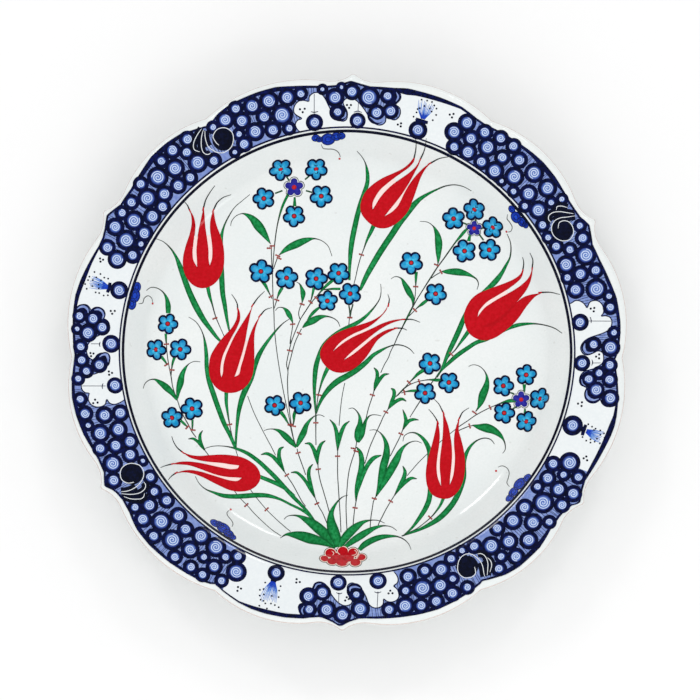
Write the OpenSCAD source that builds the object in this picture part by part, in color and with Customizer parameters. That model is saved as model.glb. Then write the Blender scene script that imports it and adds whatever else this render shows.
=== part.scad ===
// Footed ceramic plate with a scalloped, pointed rim.
// The origin is at the centre of the foot's resting face, +Z up, and +Y towards
// the top of the painted picture, where the foot is drilled for hanging.

/* [Plate] */
// Greatest radius, at the crown of each scallop
rim_r = 150; // [140:1:160]
// Height of the front glaze at the plate's centre
floor_z = 13; // [12:0.5:16]
// Thickness of the fired clay wall
wall_t = 5; // [4:0.25:6]
// Thickness of the slip and glaze coat on each side
glaze_t = 0.5; // [0.4:0.1:0.8]

/* [Well] */
// Radius at which the flat floor starts to curve up
floor_r = 99; // [95:1:101]
// Rise of the floor from its centre to that radius
floor_rise = 1.3; // [0.5:0.1:2]
// Radius of the hollow curve at the foot of the side
cove_r = 14; // [12:1:16]
// Steepness of the side, in degrees
side_angle = 45; // [40:1:50]
// Straight length of the side between its two curves, measured across the plate
side_run = 9.5; // [8:0.5:11]
// Radius of the rounded shoulder between the side and the flange
shoulder_r = 9; // [8:0.5:11]
// Slope of the flange, in degrees
flange_angle = 10; // [6:1:14]

/* [Rim] */
// Radius at the notches between the scallops
notch_r = 146.3; // [145:0.1:147]
// Radius at the tips of the six points
tip_r = 149.6; // [148.5:0.1:151]
// Half of the angle that a point's two hollow flanks take up
flank_half = 5.5; // [5:0.5:7]
// Radius of the hollow flanks beside each point
flank_r = 18; // [16:1:22]

/* [Foot] */
// Outer radius of the foot ring
foot_outer_r = 84; // [80:1:88]
// Wall of the foot ring where it meets the body
foot_wall = 7; // [6:0.5:8]
// Inward draft of each wall down to the resting face
foot_draft = 0.8; // [0.4:0.1:1.2]
// Radius of the two hanging holes drilled through the ring
hole_r = 1.6; // [1.25:0.05:2]
// Height of the hanging holes above the resting face
hole_z = 3.6; // [3.2:0.1:4]
// Distance between the hanging holes' axes
hole_pitch = 30; // [20:1:40]

/* [Hidden] */
$fn = 180;
arc_step = 5;
round_fn = 48;
// How far cutting shapes reach past what they cut, and their height
beyond = 6;
tall = 60;
// How far the round middle of the outline stays inside the notches
core_margin = 1.2;
// Half the width of each point's blunt end, its depth, and how deep a point is rooted
tip_half = 1.3;
tip_blunt = 0.5;
tip_root = 10;
// Directions of the six points and of the six notches, as the rim was cut
point_angles = [28, 88.7, 150, 209.5, 269, 326.8];
notch_angles = [-1.5, 58, 121, 181.5, 241.5, 299];
floor_angle = atan(floor_rise / floor_r);
body_drop = glaze_t + wall_t;
back_drop = body_drop + glaze_t;
foot_inner_r = foot_outer_r - foot_wall;

// The side's hollow curve turns about cove_c, which lies above the plate, and
// the shoulder turns about shoulder_c, which lies below it.
cove_c = [floor_r - cove_r * sin(floor_angle),
          floor_z + floor_rise + cove_r * cos(floor_angle)];
side_top = [cove_c[0] + cove_r * sin(side_angle) + side_run,
            cove_c[1] - cove_r * cos(side_angle) + side_run * tan(side_angle)];
shoulder_c = side_top + shoulder_r * [sin(side_angle), -cos(side_angle)];

// Height of the floor line at radius r, drop below the front glaze
function floor_height(r, drop) = floor_z + r * tan(floor_angle) - drop / cos(floor_angle);

// Height of the flange line at radius r, drop below the front glaze
function flange_height(r, drop) =
    shoulder_c[1] + (shoulder_r - drop) / cos(flange_angle)
    + (r - shoulder_c[0]) * tan(flange_angle);

// The front surface from the centre outwards, lowered square to itself by drop
function front_line(drop) = concat(
    [[0, floor_height(0, drop)]],
    [for (a = [floor_angle : arc_step : side_angle - 1])
        cove_c + (cove_r + drop) * [sin(a), -cos(a)]],
    [cove_c + (cove_r + drop) * [sin(side_angle), -cos(side_angle)]],
    [for (a = [side_angle : -arc_step : flange_angle])
        shoulder_c + (shoulder_r - drop) * [-sin(a), cos(a)]],
    [[rim_r + beyond, flange_height(rim_r + beyond, drop)]]
);

function reversed(points) = [for (i = [len(points) - 1 : -1 : 0]) points[i]];
function polar(r, a) = r * [cos(a), sin(a)];

// A closed band between two lowered copies of the front surface
module band(top_drop, bottom_drop) {
    rotate_extrude() polygon(concat(front_line(top_drop), reversed(front_line(bottom_drop))));
}

// One scallop: a round disc that reaches from a point's flank to a notch
module scallop(flank_angle, notch_angle) {
    a = polar(notch_r, flank_angle);
    b = polar(notch_r, notch_angle);
    middle = (a + b) / 2;
    half_chord = norm(b - a) / 2;
    crown = rim_r - norm(middle);
    arc_r = (half_chord * half_chord + crown * crown) / (2 * crown);
    translate(middle * (1 + (crown - arc_r) / norm(middle))) circle(arc_r);
}

// One point of the rim: a wedge with a hollow flank on each side
module rim_point(angle) {
    shoulder_x = notch_r * sin(flank_half);
    shoulder_y = notch_r * cos(flank_half);
    reach = [shoulder_x - tip_half, shoulder_y - tip_r + tip_blunt];
    lift = sqrt(flank_r * flank_r - reach * reach / 4);
    centre = [tip_half, tip_r - tip_blunt] + reach / 2
        + lift * [-reach[1], reach[0]] / norm(reach);
    rotate(angle - 90) difference() {
        polygon([[-shoulder_x, shoulder_y], [0, shoulder_y - tip_root], [shoulder_x, shoulder_y],
                 [tip_half, tip_r], [-tip_half, tip_r]]);
        for (side = [-1, 1]) translate([side * centre[0], centre[1]]) circle(flank_r);
    }
}

// The rim's outline, seen from above
module outline() {
    circle(notch_r - core_margin);
    for (i = [0 : 5]) {
        scallop(point_angles[i] - flank_half, notch_angles[i]);
        scallop(point_angles[i] + flank_half, i < 5 ? notch_angles[i + 1] : notch_angles[0] + 360);
        rim_point(point_angles[i]);
    }
}

module trimmed() {
    intersection() {
        children();
        linear_extrude(tall) outline();
    }
}

// The clay body, fired once before it is painted
module fired_body() {
    color("linen") trimmed() band(glaze_t, body_drop);
}

// White slip, painting and clear glaze on the front, fused as one coat
module front_glaze() {
    color("aliceblue") trimmed() band(0, glaze_t);
}

// The back's coat, from the foot ring out to the lip
module back_glaze() {
    color("whitesmoke") trimmed() difference() {
        band(body_drop, back_drop);
        cylinder(r = foot_outer_r, h = tall, center = true);
    }
}

// The round patch of glaze inside the foot ring
module foot_well_glaze() {
    color("whitesmoke") intersection() {
        band(body_drop, back_drop);
        cylinder(r = foot_inner_r, h = tall, center = true);
    }
}

// The bare ring that the plate stands on, drilled twice for a hanging wire
module foot_ring() {
    color("wheat") difference() {
        rotate_extrude() polygon([
            [foot_inner_r, floor_height(foot_inner_r, body_drop)],
            [foot_inner_r + foot_draft, 0],
            [foot_outer_r - foot_draft, 0],
            [foot_outer_r, floor_height(foot_outer_r, body_drop)]
        ]);
        for (side = [-1, 1])
            translate([side * hole_pitch / 2, 0, hole_z])
                rotate([-90, 0, 0]) cylinder(r = hole_r, h = foot_outer_r + beyond, $fn = round_fn);
    }
}

fired_body();
foot_ring();
front_glaze();
back_glaze();
foot_well_glaze();
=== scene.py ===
"""The looks of the hand painted ceramic plate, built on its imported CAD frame.

The glazed body is turned from the same profile as the CAD part, with its lip rounded. The
decoration is a set of thin coats of paint that lie in the glaze: brush strokes with a width
at each point, filled shapes, discs and blossoms. Painted points are in millimetres on the
plate seen from above, x to the right and y up, or (degrees, radius) in the border.
"""
import math
import random

import bpy
import numpy as np
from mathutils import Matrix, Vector, geometry


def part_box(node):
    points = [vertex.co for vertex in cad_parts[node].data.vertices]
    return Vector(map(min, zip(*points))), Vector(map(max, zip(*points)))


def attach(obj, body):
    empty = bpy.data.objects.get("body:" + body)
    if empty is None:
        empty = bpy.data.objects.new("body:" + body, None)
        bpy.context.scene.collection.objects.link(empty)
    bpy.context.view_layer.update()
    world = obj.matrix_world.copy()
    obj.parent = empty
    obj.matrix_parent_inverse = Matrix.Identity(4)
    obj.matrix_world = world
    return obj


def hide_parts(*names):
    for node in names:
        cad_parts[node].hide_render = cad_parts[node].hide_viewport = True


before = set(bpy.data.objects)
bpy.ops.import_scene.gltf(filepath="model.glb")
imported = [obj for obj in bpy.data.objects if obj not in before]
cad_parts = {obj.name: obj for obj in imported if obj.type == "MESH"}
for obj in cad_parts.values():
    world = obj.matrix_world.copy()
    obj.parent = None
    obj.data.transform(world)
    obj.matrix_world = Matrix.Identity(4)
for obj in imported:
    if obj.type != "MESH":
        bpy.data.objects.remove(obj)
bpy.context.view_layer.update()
random.seed(7)

MM = 0.001

# The body's profile, in mm, with the dimensions of the CAD part
GLAZE = 0.5
WALL = 5.0
FLOOR_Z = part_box("front_glaze")[0].z / MM + GLAZE
FLOOR_R = 99.0
FLOOR_ANGLE = math.atan(1.3 / FLOOR_R)
COVE_R = 14.0
SIDE_ANGLE = math.radians(45)
SIDE_RUN = 9.5
SHOULDER_R = 9.0
FLANGE_ANGLE = math.radians(10)
FOOT_OUTER_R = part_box("foot_ring")[1].x / MM
FOOT_INNER_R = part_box("foot_well_glaze")[1].x / MM
FULL_DROP = WALL + 2 * GLAZE
LIP_R = FULL_DROP / 2
FLANGE_START = 124.0

COVE_C = np.array([FLOOR_R - COVE_R * math.sin(FLOOR_ANGLE),
                   FLOOR_Z + FLOOR_R * math.tan(FLOOR_ANGLE) + COVE_R * math.cos(FLOOR_ANGLE)])
SIDE_START = COVE_C + COVE_R * np.array([math.sin(SIDE_ANGLE), -math.cos(SIDE_ANGLE)])
SIDE_TOP = SIDE_START + SIDE_RUN * np.array([1, math.tan(SIDE_ANGLE)])
SHOULDER_C = SIDE_TOP + SHOULDER_R * np.array([math.sin(SIDE_ANGLE), -math.cos(SIDE_ANGLE)])


# ---------------------------------------------------------------- the plate's surface

def arc(centre, radius, start, end, steps):
    """Points of a profile arc; a positive radius hangs below its centre, a negative one stands
    above."""
    angles = np.linspace(start, end, steps)
    return centre + radius * np.stack([np.sin(angles), -np.cos(angles)], axis=1)


def profile(drop, floor_start=0.0):
    """The front surface's line lowered square to itself by drop, from floor_start to the flange."""
    floor_drop = drop / math.cos(FLOOR_ANGLE)
    floor_r = np.arange(floor_start, FLOOR_R - 2, 4)
    floor = np.stack([floor_r, FLOOR_Z - floor_drop + floor_r * math.tan(FLOOR_ANGLE)], axis=1)
    cove = arc(COVE_C, COVE_R + drop, FLOOR_ANGLE, SIDE_ANGLE, 14)
    shoulder = arc(SHOULDER_C, drop - SHOULDER_R, SIDE_ANGLE, FLANGE_ANGLE, 10)
    middle = (cove[-1] + shoulder[0]) / 2
    return np.vstack([floor, cove, middle, shoulder])


def flange_height(r, drop=0.0):
    rise = (r - SHOULDER_C[0]) * math.tan(FLANGE_ANGLE)
    return SHOULDER_C[1] + (SHOULDER_R - drop) / math.cos(FLANGE_ANGLE) + rise


def ripple(x, y):
    """The slight waves that the potter's hands left in the surface, in mm."""
    across = np.sin(0.21 * x + 0.6 * np.sin(0.09 * y)) * np.sin(0.17 * y + 1.3)
    along = np.sin(0.11 * (x + 1.7 * y) + 0.8)
    return 0.012 * across + 0.02 * along


def front_height(x, y):
    """Height of the front glaze over the plan point (x, y), for arrays, in mm. It carries the
    flange's slope on past the start of the rounded lip."""
    r = np.hypot(x, y)
    floor = FLOOR_Z + r * math.tan(FLOOR_ANGLE)
    cove = COVE_C[1] - np.sqrt(np.maximum(COVE_R ** 2 - (r - COVE_C[0]) ** 2, 0))
    side = SIDE_START[1] + (r - SIDE_START[0]) * math.tan(SIDE_ANGLE)
    shoulder = SHOULDER_C[1] + np.sqrt(np.maximum(SHOULDER_R ** 2 - (r - SHOULDER_C[0]) ** 2, 0))
    shoulder_end = SHOULDER_C[0] - SHOULDER_R * math.sin(FLANGE_ANGLE)
    ends = [r < FLOOR_R, r < SIDE_START[0], r < SIDE_TOP[0], r < shoulder_end]
    return np.select(ends, [floor, cove, side, shoulder], flange_height(r)) + ripple(x, y)


def front_normal(x, y):
    step = 0.02
    slope_x = (front_height(x + step, y) - front_height(x - step, y)) / (2 * step)
    slope_y = (front_height(x, y + step) - front_height(x, y - step)) / (2 * step)
    normal = np.stack([-slope_x, -slope_y, np.ones_like(slope_x)], axis=1)
    return normal / np.linalg.norm(normal, axis=1, keepdims=True)


PLAN_R = np.linspace(0, 150, 3001)
PROFILE_RISE = np.gradient(front_height(PLAN_R, np.zeros_like(PLAN_R)), PLAN_R)
ARC_LENGTH = np.concatenate([[0], np.cumsum(np.hypot(1, PROFILE_RISE[1:]) * np.diff(PLAN_R))])


def around(centre, radii, angles):
    """Plan points at these distances, measured on the surface, and directions from centre."""
    centre = np.array(centre, float)
    r = np.hypot(*centre)
    outward = centre / max(r, 1e-6)
    sideways = np.array([-outward[1], outward[0]])
    bearing = angles - math.atan2(outward[1], outward[0])
    along = np.interp(r, PLAN_R, ARC_LENGTH) + radii * np.cos(bearing)
    out = np.interp(along, ARC_LENGTH, PLAN_R) - r
    return centre + np.outer(out, outward) + np.outer(radii * np.sin(bearing), sideways)


def plan(points):
    """(degrees, radius, ...) points of the border as (x, y, ...) points."""
    points = np.array(points, float)
    angles = np.radians(points[:, 0])
    xy = points[:, 1:2] * np.stack([np.cos(angles), np.sin(angles)], axis=1)
    return np.hstack([xy, points[:, 2:]])


# ---------------------------------------------------------------- coats of paint

# How much lower a coat lies at its edge, the finest line, the share of its full width up to
# which a stroke is ink, and how far a patch's inner points keep from its outline
EDGE_DROP = 0.02
FINEST_LINE = 0.12
INK_SHARE = 0.55
OUTLINE_GAP = 0.45


class Coat:
    """A coat of one paint: points on the plate, with how near the edge of their mark each lies
    (edge), how full the brush was (tone) and a value for the whole mark (grain)."""

    def __init__(self):
        self.count = 0
        self.parts = []
        self.faces = []

    def add(self, xy, lift, edge, tone, faces):
        size = len(xy)
        grain = np.full(size, random.random())
        lift, edge, tone = (np.broadcast_to(v, size) for v in (lift, edge, tone))
        self.parts.append(np.column_stack([xy, lift, edge, tone, grain]))
        self.faces += [tuple(i + self.count for i in f) for f in faces]
        self.count += size


def smooth_line(points, step=0.8):
    """The smooth curve through the points, sampled about every step mm; other columns go along."""
    p = np.array(points, float)
    gaps = np.maximum(np.hypot(*np.diff(p[:, :2], axis=0).T), 1e-6)
    t = np.concatenate([[0], np.cumsum(gaps)])
    slopes = np.diff(p, axis=0) / gaps[:, None]
    tangents = np.vstack([slopes[:1], slopes[-1:]])
    if len(p) > 2:
        before, after = gaps[:-1, None], gaps[1:, None]
        inner = (slopes[1:] * before + slopes[:-1] * after) / (before + after)
        tangents = np.vstack([slopes[:1], inner, slopes[-1:]])
    at = np.linspace(0, t[-1], max(3, int(t[-1] / step) + 2))
    i = np.clip(np.searchsorted(t, at, side="right") - 1, 0, len(gaps) - 1)
    h = gaps[i][:, None]
    u = (at - t[i])[:, None] / h
    return ((2 * u ** 3 - 3 * u ** 2 + 1) * p[i] + (u ** 3 - 2 * u ** 2 + u) * h * tangents[i]
            + (3 * u ** 2 - 2 * u ** 3) * p[i + 1] + (u ** 3 - u ** 2) * h * tangents[i + 1])


def grid_faces(rows, columns):
    """Quads between the points of a grid whose rows follow each other."""
    return [(r * columns + c, r * columns + c + 1, (r + 1) * columns + c + 1, (r + 1) * columns + c)
            for r in range(rows - 1) for c in range(columns - 1)]


def brush(coat, points, lift=0.06, full_width=0.0, step=0.8):
    """A brush stroke along (x, y, width) points; where it is much thinner than full_width its
    tone is 0."""
    line = smooth_line(points, step)
    across = np.gradient(line[:, :2], axis=0)
    across = np.stack([across[:, 1], -across[:, 0]], axis=1)
    across /= np.maximum(np.linalg.norm(across, axis=1, keepdims=True), 1e-9)
    width = np.maximum(line[:, 2], FINEST_LINE)
    places = np.array([-1, -0.6, 0, 0.6, 1])
    offsets = places[None, :, None] * (width / 2)[:, None, None] * across[:, None, :]
    xy = (line[:, None, :2] + offsets).reshape(-1, 2)
    rows = len(line)
    tone = np.ones(rows)
    if full_width:
        tone = np.clip((width / full_width - INK_SHARE) / (1 - INK_SHARE), 0, 1)
    edge = np.tile(np.abs(places), rows)
    height = np.where(edge == 1, lift - EDGE_DROP, lift)
    coat.add(xy, height, edge, np.repeat(tone, len(places)), grid_faces(rows, len(places)))


def even_strokes(coat, lines, width, lift=0.06):
    """Brush strokes of one width, that taper a little at both ends."""
    for line in lines:
        tapered = [(x, y, width * (0.6 if i in (0, len(line) - 1) else 1))
                   for i, (x, y) in enumerate(line)]
        brush(coat, tapered, lift)


def star(coat, centre, reach, lift, turn=0.0, steps=28):
    """A filled round shape; reach is its radius, or a function of the direction from turn."""
    angles = np.linspace(0, 2 * math.pi, steps, endpoint=False)
    full = np.array([reach(a) if callable(reach) else reach for a in angles])
    shares = (0.5, 0.82, 1.0)
    rings = [around(centre, share * full, angles + turn) for share in shares]
    xy = np.vstack([[centre], *rings])
    edge = np.concatenate([[0], np.repeat(shares, steps)])
    height = np.where(edge == 1, lift - EDGE_DROP, lift)
    faces = [(0, 1 + i, 1 + (i + 1) % steps) for i in range(steps)]
    for ring in range(len(shares) - 1):
        a = 1 + ring * steps
        faces += [(a + i, a + steps + i, a + steps + (i + 1) % steps, a + (i + 1) % steps)
                  for i in range(steps)]
    coat.add(xy, height, edge, 1.0, faces)


def inside(points, outline):
    """Which points lie inside the closed outline."""
    found = np.zeros(len(points), bool)
    x, y = points[:, 0], points[:, 1]
    for (ax, ay), (bx, by) in zip(outline, np.roll(outline, -1, axis=0)):
        if ay != by:
            crosses = (ay > y) != (by > y)
            found ^= crosses & (x < (bx - ax) * (y - ay) / (by - ay) + ax)
    return found


def patch(coat, outline, lift, spacing=1.7, edge_width=1.2):
    """A filled shape inside the closed outline of (x, y) points."""
    outline = np.array(outline, float)
    low, high = outline.min(axis=0), outline.max(axis=0)
    gx, gy = np.meshgrid(np.arange(low[0], high[0], spacing), np.arange(low[1], high[1], spacing))
    gx[1::2] += spacing / 2
    inner = np.stack([gx.ravel(), gy.ravel()], axis=1)
    inner = inner[inside(inner, outline)]
    gaps = np.linalg.norm(inner[:, None] - outline[None], axis=2).min(axis=1)
    inner, gaps = inner[gaps > OUTLINE_GAP], gaps[gaps > OUTLINE_GAP]
    size = len(outline)
    loop = [(i, (i + 1) % size) for i in range(size)]
    places = [Vector(p) for p in np.vstack([outline, inner])]
    verts, _, faces, origins = geometry.delaunay_2d_cdt(places, loop, [], 1, 1e-5)[:4]
    distance = np.concatenate([np.zeros(size), gaps])
    near = np.array([distance[o[0]] if o else 0.0 for o in origins])
    edge = np.clip(1 - near / edge_width, 0, 1)
    height = np.where(near == 0, lift - EDGE_DROP, lift)
    coat.add(np.array([tuple(v) for v in verts]), height, edge, 1.0, faces)


def bent_outline(sides, step=0.8):
    """A closed outline made of smooth sides; each side starts at the corner where the last one
    ended."""
    corner = sides[-1][-1]
    points = []
    for side in sides:
        points += [tuple(p) for p in smooth_line([corner, *side], step)[:-1]]
        corner = side[-1]
    return points


def faces_up(faces, points):
    """The same faces, each turned to run anticlockwise seen from above."""
    turned_up = []
    for face in faces:
        x, y = points[list(face), 0], points[list(face), 1]
        area = np.dot(x, np.roll(y, -1)) - np.dot(y, np.roll(x, -1))
        turned_up.append(face if area >= 0 else face[::-1])
    return turned_up


def make_piece(name, coat, material):
    """One piece of the visual model from a coat of paint, lying in the front glaze."""
    data = np.vstack(coat.parts)
    x, y, lift = data[:, 0], data[:, 1], data[:, 2]
    normals = front_normal(x, y)
    points = np.column_stack([x, y, front_height(x, y)]) + lift[:, None] * normals
    mesh = bpy.data.meshes.new(name)
    mesh.from_pydata((points * MM).tolist(), [], faces_up(coat.faces, data))
    for label, column in (("edge", 3), ("tone", 4), ("grain", 5)):
        values = mesh.attributes.new(label, "FLOAT", "POINT")
        values.data.foreach_set("value", data[:, column].astype(np.float32))
    piece = finish_piece(name, mesh, material)
    mesh.normals_split_custom_set_from_vertices(normals.tolist())
    return piece


def finish_piece(name, mesh, material):
    mesh.shade_smooth()
    mesh.materials.append(material)
    piece = bpy.data.objects.new(name, mesh)
    bpy.context.scene.collection.objects.link(piece)
    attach(piece, "root")
    return piece


# ---------------------------------------------------------------- materials

def srgb(red, green, blue):
    """A colour given as 0-255 sRGB, as linear RGBA."""
    values = [v / 255 for v in (red, green, blue)]
    return (*[v / 12.92 if v <= 0.04045 else ((v + 0.055) / 1.055) ** 2.4 for v in values], 1)


GROUND = srgb(229, 234, 234)
INK = srgb(14, 18, 18)
GREEN = srgb(2, 116, 52)
TURQUOISE = srgb(6, 166, 218)
NAVY = srgb(0, 4, 34)
PERIWINKLE = srgb(118, 138, 198)
COBALT = srgb(16, 52, 176)


def plug(tree, source, socket):
    """Links another node's output to the socket, or sets the socket's own value."""
    if isinstance(source, bpy.types.NodeSocket):
        tree.links.new(source, socket)
    else:
        socket.default_value = source


def blend_colours(tree, factor, first, second):
    mix = tree.nodes.new("ShaderNodeMix")
    mix.data_type = "RGBA"
    plug(tree, factor, mix.inputs[0])
    plug(tree, first, mix.inputs[6])
    plug(tree, second, mix.inputs[7])
    return mix.outputs[2]


def noise(tree, scale, detail=2.0):
    """Noise over the plate's own coordinates; scale is in blobs per metre."""
    coordinates = tree.nodes.new("ShaderNodeTexCoord")
    texture = tree.nodes.new("ShaderNodeTexNoise")
    tree.links.new(coordinates.outputs["Object"], texture.inputs["Vector"])
    texture.inputs["Scale"].default_value = scale
    texture.inputs["Detail"].default_value = detail
    return texture.outputs["Fac"]


def attribute(tree, name):
    reader = tree.nodes.new("ShaderNodeAttribute")
    reader.attribute_name = name
    return reader.outputs["Fac"]


def remap(tree, value, low, high, to_low=0.0, to_high=1.0):
    node = tree.nodes.new("ShaderNodeMapRange")
    for i, source in enumerate((value, low, high, to_low, to_high)):
        plug(tree, source, node.inputs[i])
    return node.outputs[0]


def glossy(name, roughness):
    """A new material with a glazed surface; returns it, its tree and its Base Color socket."""
    material = bpy.data.materials.new(name)
    material.use_nodes = True
    shader = material.node_tree.nodes["Principled BSDF"]
    shader.inputs["Roughness"].default_value = roughness
    shader.inputs["IOR"].default_value = 1.5
    return material, material.node_tree, shader.inputs["Base Color"]


def paint(name, full, thin, edge_colour, edge_strength=0.6, ink=None, edge_start=0.35):
    """Underglaze paint: full and thin where the brush left more and less of it, pooled darker
    from edge_start out to its edges, and turning to ink where the stroke's tone is low."""
    material, tree, base = glossy(name, 0.12)
    streaks = remap(tree, noise(tree, 620, 3), 0.36, 0.62)
    colour = blend_colours(tree, streaks, thin, full)
    clouds = remap(tree, noise(tree, 110), 0.35, 0.7, 0.0, 0.45)
    colour = blend_colours(tree, clouds, colour, full)
    pooled = remap(tree, attribute(tree, "edge"), edge_start, 0.95, 0.0, edge_strength)
    colour = blend_colours(tree, pooled, colour, edge_colour)
    shade = remap(tree, attribute(tree, "grain"), 0.0, 1.0, 0.0, 0.16)
    colour = blend_colours(tree, shade, colour, edge_colour)
    if ink:
        colour = blend_colours(tree, attribute(tree, "tone"), ink, colour)
    plug(tree, colour, base)
    return material


def white_glaze(name, tint, speck_strength=0.12):
    """White slip under clear glaze: faint clouds, and a few iron specks."""
    material, tree, base = glossy(name, 0.1)
    clouds = remap(tree, noise(tree, 28, 4), 0.35, 0.68)
    colour = blend_colours(tree, clouds, GROUND, tint)
    grains = remap(tree, noise(tree, 900, 1), 0.3, 0.75, 0.0, 0.35)
    colour = blend_colours(tree, grains, colour, srgb(220, 226, 224))
    specks = remap(tree, noise(tree, 420, 0), 0.80, 0.84, 0.0, speck_strength)
    colour = blend_colours(tree, specks, colour, srgb(120, 104, 88))
    plug(tree, colour, base)
    return material


def bisque(name, light, dark):
    """Bare fired clay: matt, mottled and finely gritty."""
    material, tree, base = glossy(name, 0.85)
    mottle = remap(tree, noise(tree, 60, 5), 0.32, 0.68)
    colour = blend_colours(tree, mottle, light, dark)
    grit = remap(tree, noise(tree, 1500, 1), 0.62, 0.72, 0.0, 0.5)
    colour = blend_colours(tree, grit, colour, srgb(150, 124, 98))
    plug(tree, colour, base)
    return material


FRONT_GLAZE = white_glaze("front_glaze_white", srgb(236, 239, 238))
BACK_GLAZE = white_glaze("back_glaze_white", srgb(225, 230, 226), 0.35)
CLAY = bisque("bisque_clay", srgb(226, 212, 190), srgb(206, 188, 160))
BARE_FOOT = bisque("bare_foot_clay", srgb(216, 200, 174), srgb(188, 166, 134))
RED_PAINT = paint("red_slip", srgb(186, 0, 16), srgb(202, 8, 28), srgb(162, 0, 12), 0.45)
PINK_PAINT = paint("red_wash", srgb(246, 222, 218), srgb(248, 230, 226), srgb(240, 178, 172), 0.5)
GREEN_PAINT = paint("green_and_ink", GREEN, srgb(34, 154, 86), srgb(0, 76, 34), 0.85, srgb(48, 54, 50))
INK_PAINT = paint("black_ink", INK, srgb(44, 50, 48), srgb(12, 14, 16), 0.4)
FINE_INK = paint("fine_grey_ink", srgb(60, 64, 62), srgb(96, 100, 98), INK, 0.3)
NAVY_PAINT = paint("navy_line", NAVY, srgb(5, 18, 84), srgb(1, 3, 22), 0.3)
TURQUOISE_PAINT = paint("turquoise", TURQUOISE, srgb(96, 206, 240), srgb(0, 96, 164), 0.65)
VIOLET_PAINT = paint("violet_blue", srgb(30, 34, 150), srgb(60, 60, 176), srgb(18, 16, 96), 0.5)
DOT_RED = paint("blossom_red", srgb(200, 30, 40), srgb(216, 60, 58), srgb(120, 14, 30), 0.6)
COBALT_PAINT = paint("cobalt", COBALT, srgb(34, 84, 208), srgb(8, 26, 116), 0.6)
PERIWINKLE_PAINT = paint("periwinkle_wash", PERIWINKLE, srgb(152, 172, 218), srgb(96, 118, 186), 0.25)
DISC_PAINT = paint("light_blue_disc", srgb(74, 104, 180), srgb(112, 142, 208), srgb(14, 30, 110), 0.9,
                   edge_start=0.74)
PALE_LINE = paint("pale_spiral_line", srgb(206, 220, 242), srgb(190, 206, 236), srgb(160, 182, 224), 0.25)
BROWN_PAINT = paint("joint_brown", srgb(150, 62, 58), srgb(178, 96, 88), srgb(110, 36, 36), 0.4)
SPRAY_BLUE = paint("watery_blue", srgb(70, 118, 206), srgb(130, 172, 228), srgb(30, 70, 170), 0.35)
CREAM = paint("cream_reserve", srgb(246, 226, 212), srgb(248, 236, 226), srgb(238, 200, 184), 0.4)
PANEL_WHITE = paint("reserved_white", srgb(230, 235, 236), srgb(236, 240, 240), srgb(214, 222, 232), 0.3)
LIP_BLUSH = paint("thin_lip_glaze", srgb(206, 188, 182), srgb(222, 210, 206), srgb(196, 172, 166), 0.3)
CURL_BLACK = paint("blue_black", srgb(3, 7, 26), srgb(8, 16, 50), srgb(2, 3, 14), 0.4)


# ---------------------------------------------------------------- the glazed body

# Front glaze points past RIM_INNER are its outline; the points of the rim lie inside CROWN_R
RIM_INNER = 145.0
CROWN_R = 149.8
POINT_REACH = 1.5

# The thin glaze round the lip: its lift, and the degrees round the lip where it starts and ends
BLUSH_LIFT = 0.03
BLUSH_START, BLUSH_END = 68, 86


def rim_outline():
    """Directions, every half degree and finer at the six points, and the outline's radius at each.
    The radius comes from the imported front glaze."""
    rim = [(math.atan2(v.co.y, v.co.x), math.hypot(v.co.x, v.co.y) / MM)
           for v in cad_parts["front_glaze"].data.vertices]
    found = np.array(sorted(p for p in rim if p[1] > RIM_INNER))
    angles = np.arange(-180, 180, 0.5)
    radii = np.interp(np.radians(angles), found[:, 0], found[:, 1], period=2 * math.pi)
    peaks = (radii > np.roll(radii, 1)) & (radii >= np.roll(radii, -1)) & (radii < CROWN_R)
    offsets = np.arange(-POINT_REACH, POINT_REACH, 0.1)
    fine = [tip + offset for tip in angles[peaks] for offset in offsets]
    angles = (np.concatenate([angles, fine]) + 180) % 360 - 180
    angles = np.radians(np.unique(np.round(angles, 3)))
    return angles, np.interp(angles, found[:, 0], found[:, 1], period=2 * math.pi)


RIM_ANGLES, RIM_RADII = rim_outline()


def turned(name, rows, material, centre_height=None, downward=False):
    """A surface turned about the plate's axis; each row is (radii, heights) for every direction.
    Rows that run outward face up, unless downward is set."""
    columns = len(RIM_ANGLES)
    points = []
    for radii, heights in rows:
        x, y = radii * np.cos(RIM_ANGLES), radii * np.sin(RIM_ANGLES)
        points.append(np.column_stack([x, y, heights + ripple(x, y)]))
    faces = [(r * columns + c, (r + 1) * columns + c,
              (r + 1) * columns + (c + 1) % columns, r * columns + (c + 1) % columns)
             for r in range(len(rows) - 1) for c in range(columns)]
    if centre_height is not None:
        points.append([[0, 0, centre_height]])
        faces += [(len(rows) * columns, c, (c + 1) % columns) for c in range(columns)]
    if downward:
        faces = [face[::-1] for face in faces]
    mesh = bpy.data.meshes.new(name)
    mesh.from_pydata((np.vstack(points) * MM).tolist(), [], faces)
    return finish_piece(name, mesh, material)


def line_rows(drop, floor_start):
    """Rows of the lowered profile up to the flange, the same in every direction."""
    every = np.ones_like(RIM_ANGLES)
    return [(r * every, z * every) for r, z in profile(drop, floor_start)]


def lip_rows(side, lip_r, start=0.0, end=90.0):
    """Rows round the lip, from start to end degrees; side is 1 on the front and -1 on the back."""
    along = np.array([math.cos(FLANGE_ANGLE), math.sin(FLANGE_ANGLE)])
    square = np.array([-along[1], along[0]])
    centre_r = RIM_RADII - LIP_R
    centre_z = flange_height(centre_r + LIP_R * square[0]) - LIP_R * square[1]
    rows = []
    for angle in np.radians(np.linspace(start, end, 9)):
        offset = lip_r * (math.cos(angle) * side * square + math.sin(angle) * along)
        rows.append((centre_r + offset[0], centre_z + offset[1]))
    return rows


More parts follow.
